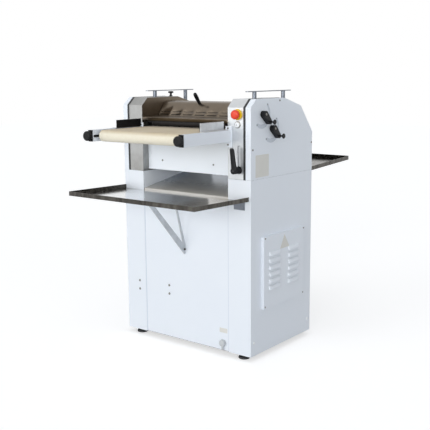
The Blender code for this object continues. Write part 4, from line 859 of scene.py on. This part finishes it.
# Trays: a polished floor sheet inside a folded rim on three sides. Each is drawn flat, with its hinge at the origin,
# then turned by the arc sine of its rise over its depth.
tray = {
    "half": 0.489, "lip": 0.026, "sheet": 0.002, "corner": 0.004,
    "front": {"hinge": (0.0, -0.004, 0.995), "outward": -1, "depth": 0.49, "rise": 0.011, "finish": "tray_steel"},
    "rear": {"hinge": (0.0, 0.669, 1.107), "outward": 1, "depth": 0.502, "rise": 0.026, "finish": "rear_tray_steel"},
}


def trayOutline(inset, radius, outward, depth):
    # From one end of the hinge's edge round the two outer corners to its other end.
    edge = tray["half"] - inset
    near, far = (arcPoints((side * (edge - radius), outward * (depth - inset - radius)), radius, *turns, 6)
                 for side, turns in ((-1, (180, 180 - 90 * outward)), (1, (90 * outward, 0))))
    return [(-edge, 0.0), *near, *far, (edge, 0.0)]


for name in ("front", "rear"):
    shape, node, sheet = tray[name], name + "_table", tray["sheet"]
    size = (shape["outward"], shape["depth"])
    tilt = Matrix.Rotation(shape["outward"] * math.asin(shape["rise"] / shape["depth"]), 3, "X")
    ring = trayOutline(0.0, tray["corner"], *size) + trayOutline(sheet, tray["corner"] - sheet, *size)[::-1]
    rim = prism([ring], "Z", -tray["lip"], 0.0)
    base = prism([trayOutline(sheet * 0.5, tray["corner"], *size)], "Z", -tray["lip"], sheet - tray["lip"])
    for kind, part, finish, replaced in (("Rim", rim, "rim_steel", ()), ("Sheet", base, shape["finish"], (node,))):
        addPiece("tray" + kind + name.capitalize(), [aim(part, shape["hinge"], tilt)], finish, node, replaced,
                 bevel=0.0006)

# The bolt at the foot of the front brace.
braceBolt = {"place": (0.0024, -0.0085, 0.627), "radius": 0.0062, "height": 0.007, "socket": 0.003}
bolt = aim(socketHead(braceBolt["radius"], braceBolt["height"], braceBolt["socket"]), braceBolt["place"], "X")
addPiece("braceBolt", [bolt], "rim_steel", body="front_table", bevel=0.0003)
print("stage: outlet and trays")

# Ground plates on the head's inner cheeks, beside the hood, follow the head's outline a millimetre inside it.
cheekPlate = {
    "inner": 0.33655, "outer": 0.33695,
    "outline": [(0.002, 1.402), (0.002, 1.502), (0.0525, 1.5488), (0.3458, 1.5488), (0.5262, 1.498),
                (0.6, 1.4105), (0.6, 1.402)],
}
plates = mirrored([cheekPlate["outline"]], cheekPlate["inner"], cheekPlate["outer"])
addPiece("cheekPlates", plates, "hood_steel")

# Slots for the nose roller's axle in the arms' inner walls, with the black blocks that slide in them.
axleSlot = {"low": (-0.42, 1.331), "high": (-0.352, 1.345), "radius": 0.0068, "inner": 0.3335, "outer": 0.3352}
outline = roundedRectangle(axleSlot["low"], axleSlot["high"], axleSlot["radius"])
addPiece("axleSlots", mirrored([outline], axleSlot["inner"], axleSlot["outer"]), "black_plastic", bevel=0.0004)

# Cable gland: a hexagon body, a ribbed cap and the pipe that leads down in front of the panel.
gland = {
    "place": (0.293, 0.0028, 0.08), "corner": 0.0235, "body": (0.0, 0.007), "ribs": (18, 0.06, 0.008, 0.019),
    "cap": [(0, 6.8), (20.5, 6.8), (21.2, 8.5), (20.5, 18), (15, 21.5), (8.5, 22.5), (0, 22.5)],
    "pipe": [(0, 0), (6.8, 0), (7, 1), (7, 40), (0, 40)],
    "pipePlace": (0.293, -0.0073, 0.038),
}
body = loftRings([(hexagonRing(gland["corner"], 36), height) for height in gland["body"]])
cap = lathe(gland["cap"], 90, fluted(*gland["ribs"]))
pipe = aim(lathe(gland["pipe"], 40), gland["pipePlace"])
addPiece("cableGland", [aim(body, gland["place"], "-Y"), aim(cap, gland["place"], "-Y"), pipe], "grey_plastic",
         replaced=("cable_gland",), bevel=0.0004)
print("stage: plates, slots and gland")


def lightOrSeen(tree, lighting, seen, output):
    # One shader lights the object, and the other is what the camera, a mirror or glass shows.
    path = addNode(tree, "LightPath").outputs
    direct = addNode(tree, "Math", {"operation": "MAXIMUM"},
                     i0=path["Is Camera Ray"], i1=path["Is Glossy Ray"])
    looked = addNode(tree, "Math", {"operation": "MAXIMUM"}, i0=direct, i1=path["Is Transmission Ray"])
    both = addNode(tree, "MixShader", None, i0=looked, i1=lighting, i2=seen)
    addNode(tree, output, None, Surface=both)


# Floor and backdrop: one pale sheet. Where it is seen, straight, in a reflection or through glass, the world is plain
# white, and the floor adds enough light of its own to meet it, so that only the object's shadow marks it.
floorHalf = 20
floorMesh = bpy.data.meshes.new("floor")
floorMesh.from_pydata(
    [(x * floorHalf, y * floorHalf, 0) for x, y in ((-1, -1), (1, -1), (1, 1), (-1, 1))], [], [(0, 1, 2, 3)],
)
floorMaterial = bpy.data.materials.new("paperFloor")
floorMaterial.use_nodes = True
tree = floorMaterial.node_tree
tree.nodes.clear()
paper = addNode(tree, "BsdfDiffuse", {"Color": linear("CFCFCF")})
seenPaper = addNode(tree, "BsdfDiffuse", {"Color": linear("D2D2D2")})
glow = addNode(tree, "Emission", {"Color": linear("FFFFFF"), "Strength": 0.6})
lit = addNode(tree, "AddShader", None, i0=seenPaper, i1=glow)
lightOrSeen(tree, paper, lit, "OutputMaterial")
floorMesh.materials.append(floorMaterial)
floor = bpy.data.objects.new("floor", floorMesh)
bpy.context.scene.collection.objects.link(floor)

world = bpy.data.worlds.new("studio")
bpy.context.scene.world = world
world.use_nodes = True
tree = world.node_tree
tree.nodes.clear()
soft = addNode(tree, "Background", {"Color": (0.91, 0.95, 1.0, 1.0), "Strength": 0.43})
white = addNode(tree, "Background", {"Color": (1.0, 1.0, 1.0, 1.0), "Strength": 1.0})
lightOrSeen(tree, soft, white, "OutputWorld")

# Lamps: the direction towards each, its strength, its width in degrees and its tint.
lamps = {
    "keyLamp": ((-0.34, -0.92, 0.16), 0.85, 34.0, (1.0, 0.99, 0.975)),
    "fillLamp": ((0.36, -0.933, 0.01), 1.84, 40.0, (0.98, 0.99, 1.0)),
    "sideLamp": ((0.9, -0.42, 0.08), 0.34, 50.0, (0.97, 0.985, 1.0)),
    "topLamp": ((0.15, -0.15, 1.0), 0.35, 60.0, (1.0, 1.0, 1.0)),
}
for name, (toward, strength, softness, tint) in lamps.items():
    lamp = bpy.data.lights.new(name, "SUN")
    lamp.energy, lamp.angle, lamp.color = strength, math.radians(softness), tint
    holder = bpy.data.objects.new(name, lamp)
    holder.rotation_mode = "QUATERNION"
    holder.rotation_quaternion = Vector(toward).to_track_quat("Z", "Y")
    bpy.context.scene.collection.objects.link(holder)

# The camera stands to the right of the front, a little above the head, and looks slightly down: its turns are its
# heading, its pitch from straight down and its roll, in degrees.
cameraPlace = {
    "location": (3.0408851, -3.9436157, 1.6933485), "lens": 65.49, "sensor": 36.0, "farthest": 100.0,
    "turns": ((38.16434066, "Z"), (90 - 10.23477472, "X"), (-0.46279887, "Z")),
}
cameraData = bpy.data.cameras.new("camera")
cameraData.lens, cameraData.sensor_width = cameraPlace["lens"], cameraPlace["sensor"]
cameraData.clip_end = cameraPlace["farthest"]
camera = bpy.data.objects.new("camera", cameraData)
turned = [Matrix.Rotation(math.radians(turn), 4, axis) for turn, axis in cameraPlace["turns"]]
camera.matrix_world = Matrix.Translation(cameraPlace["location"]) @ turned[0] @ turned[1] @ turned[2]
bpy.context.scene.collection.objects.link(camera)
bpy.context.scene.camera = camera
bpy.context.scene.view_settings.view_transform = "Standard"
print("stage: floor, light and camera")
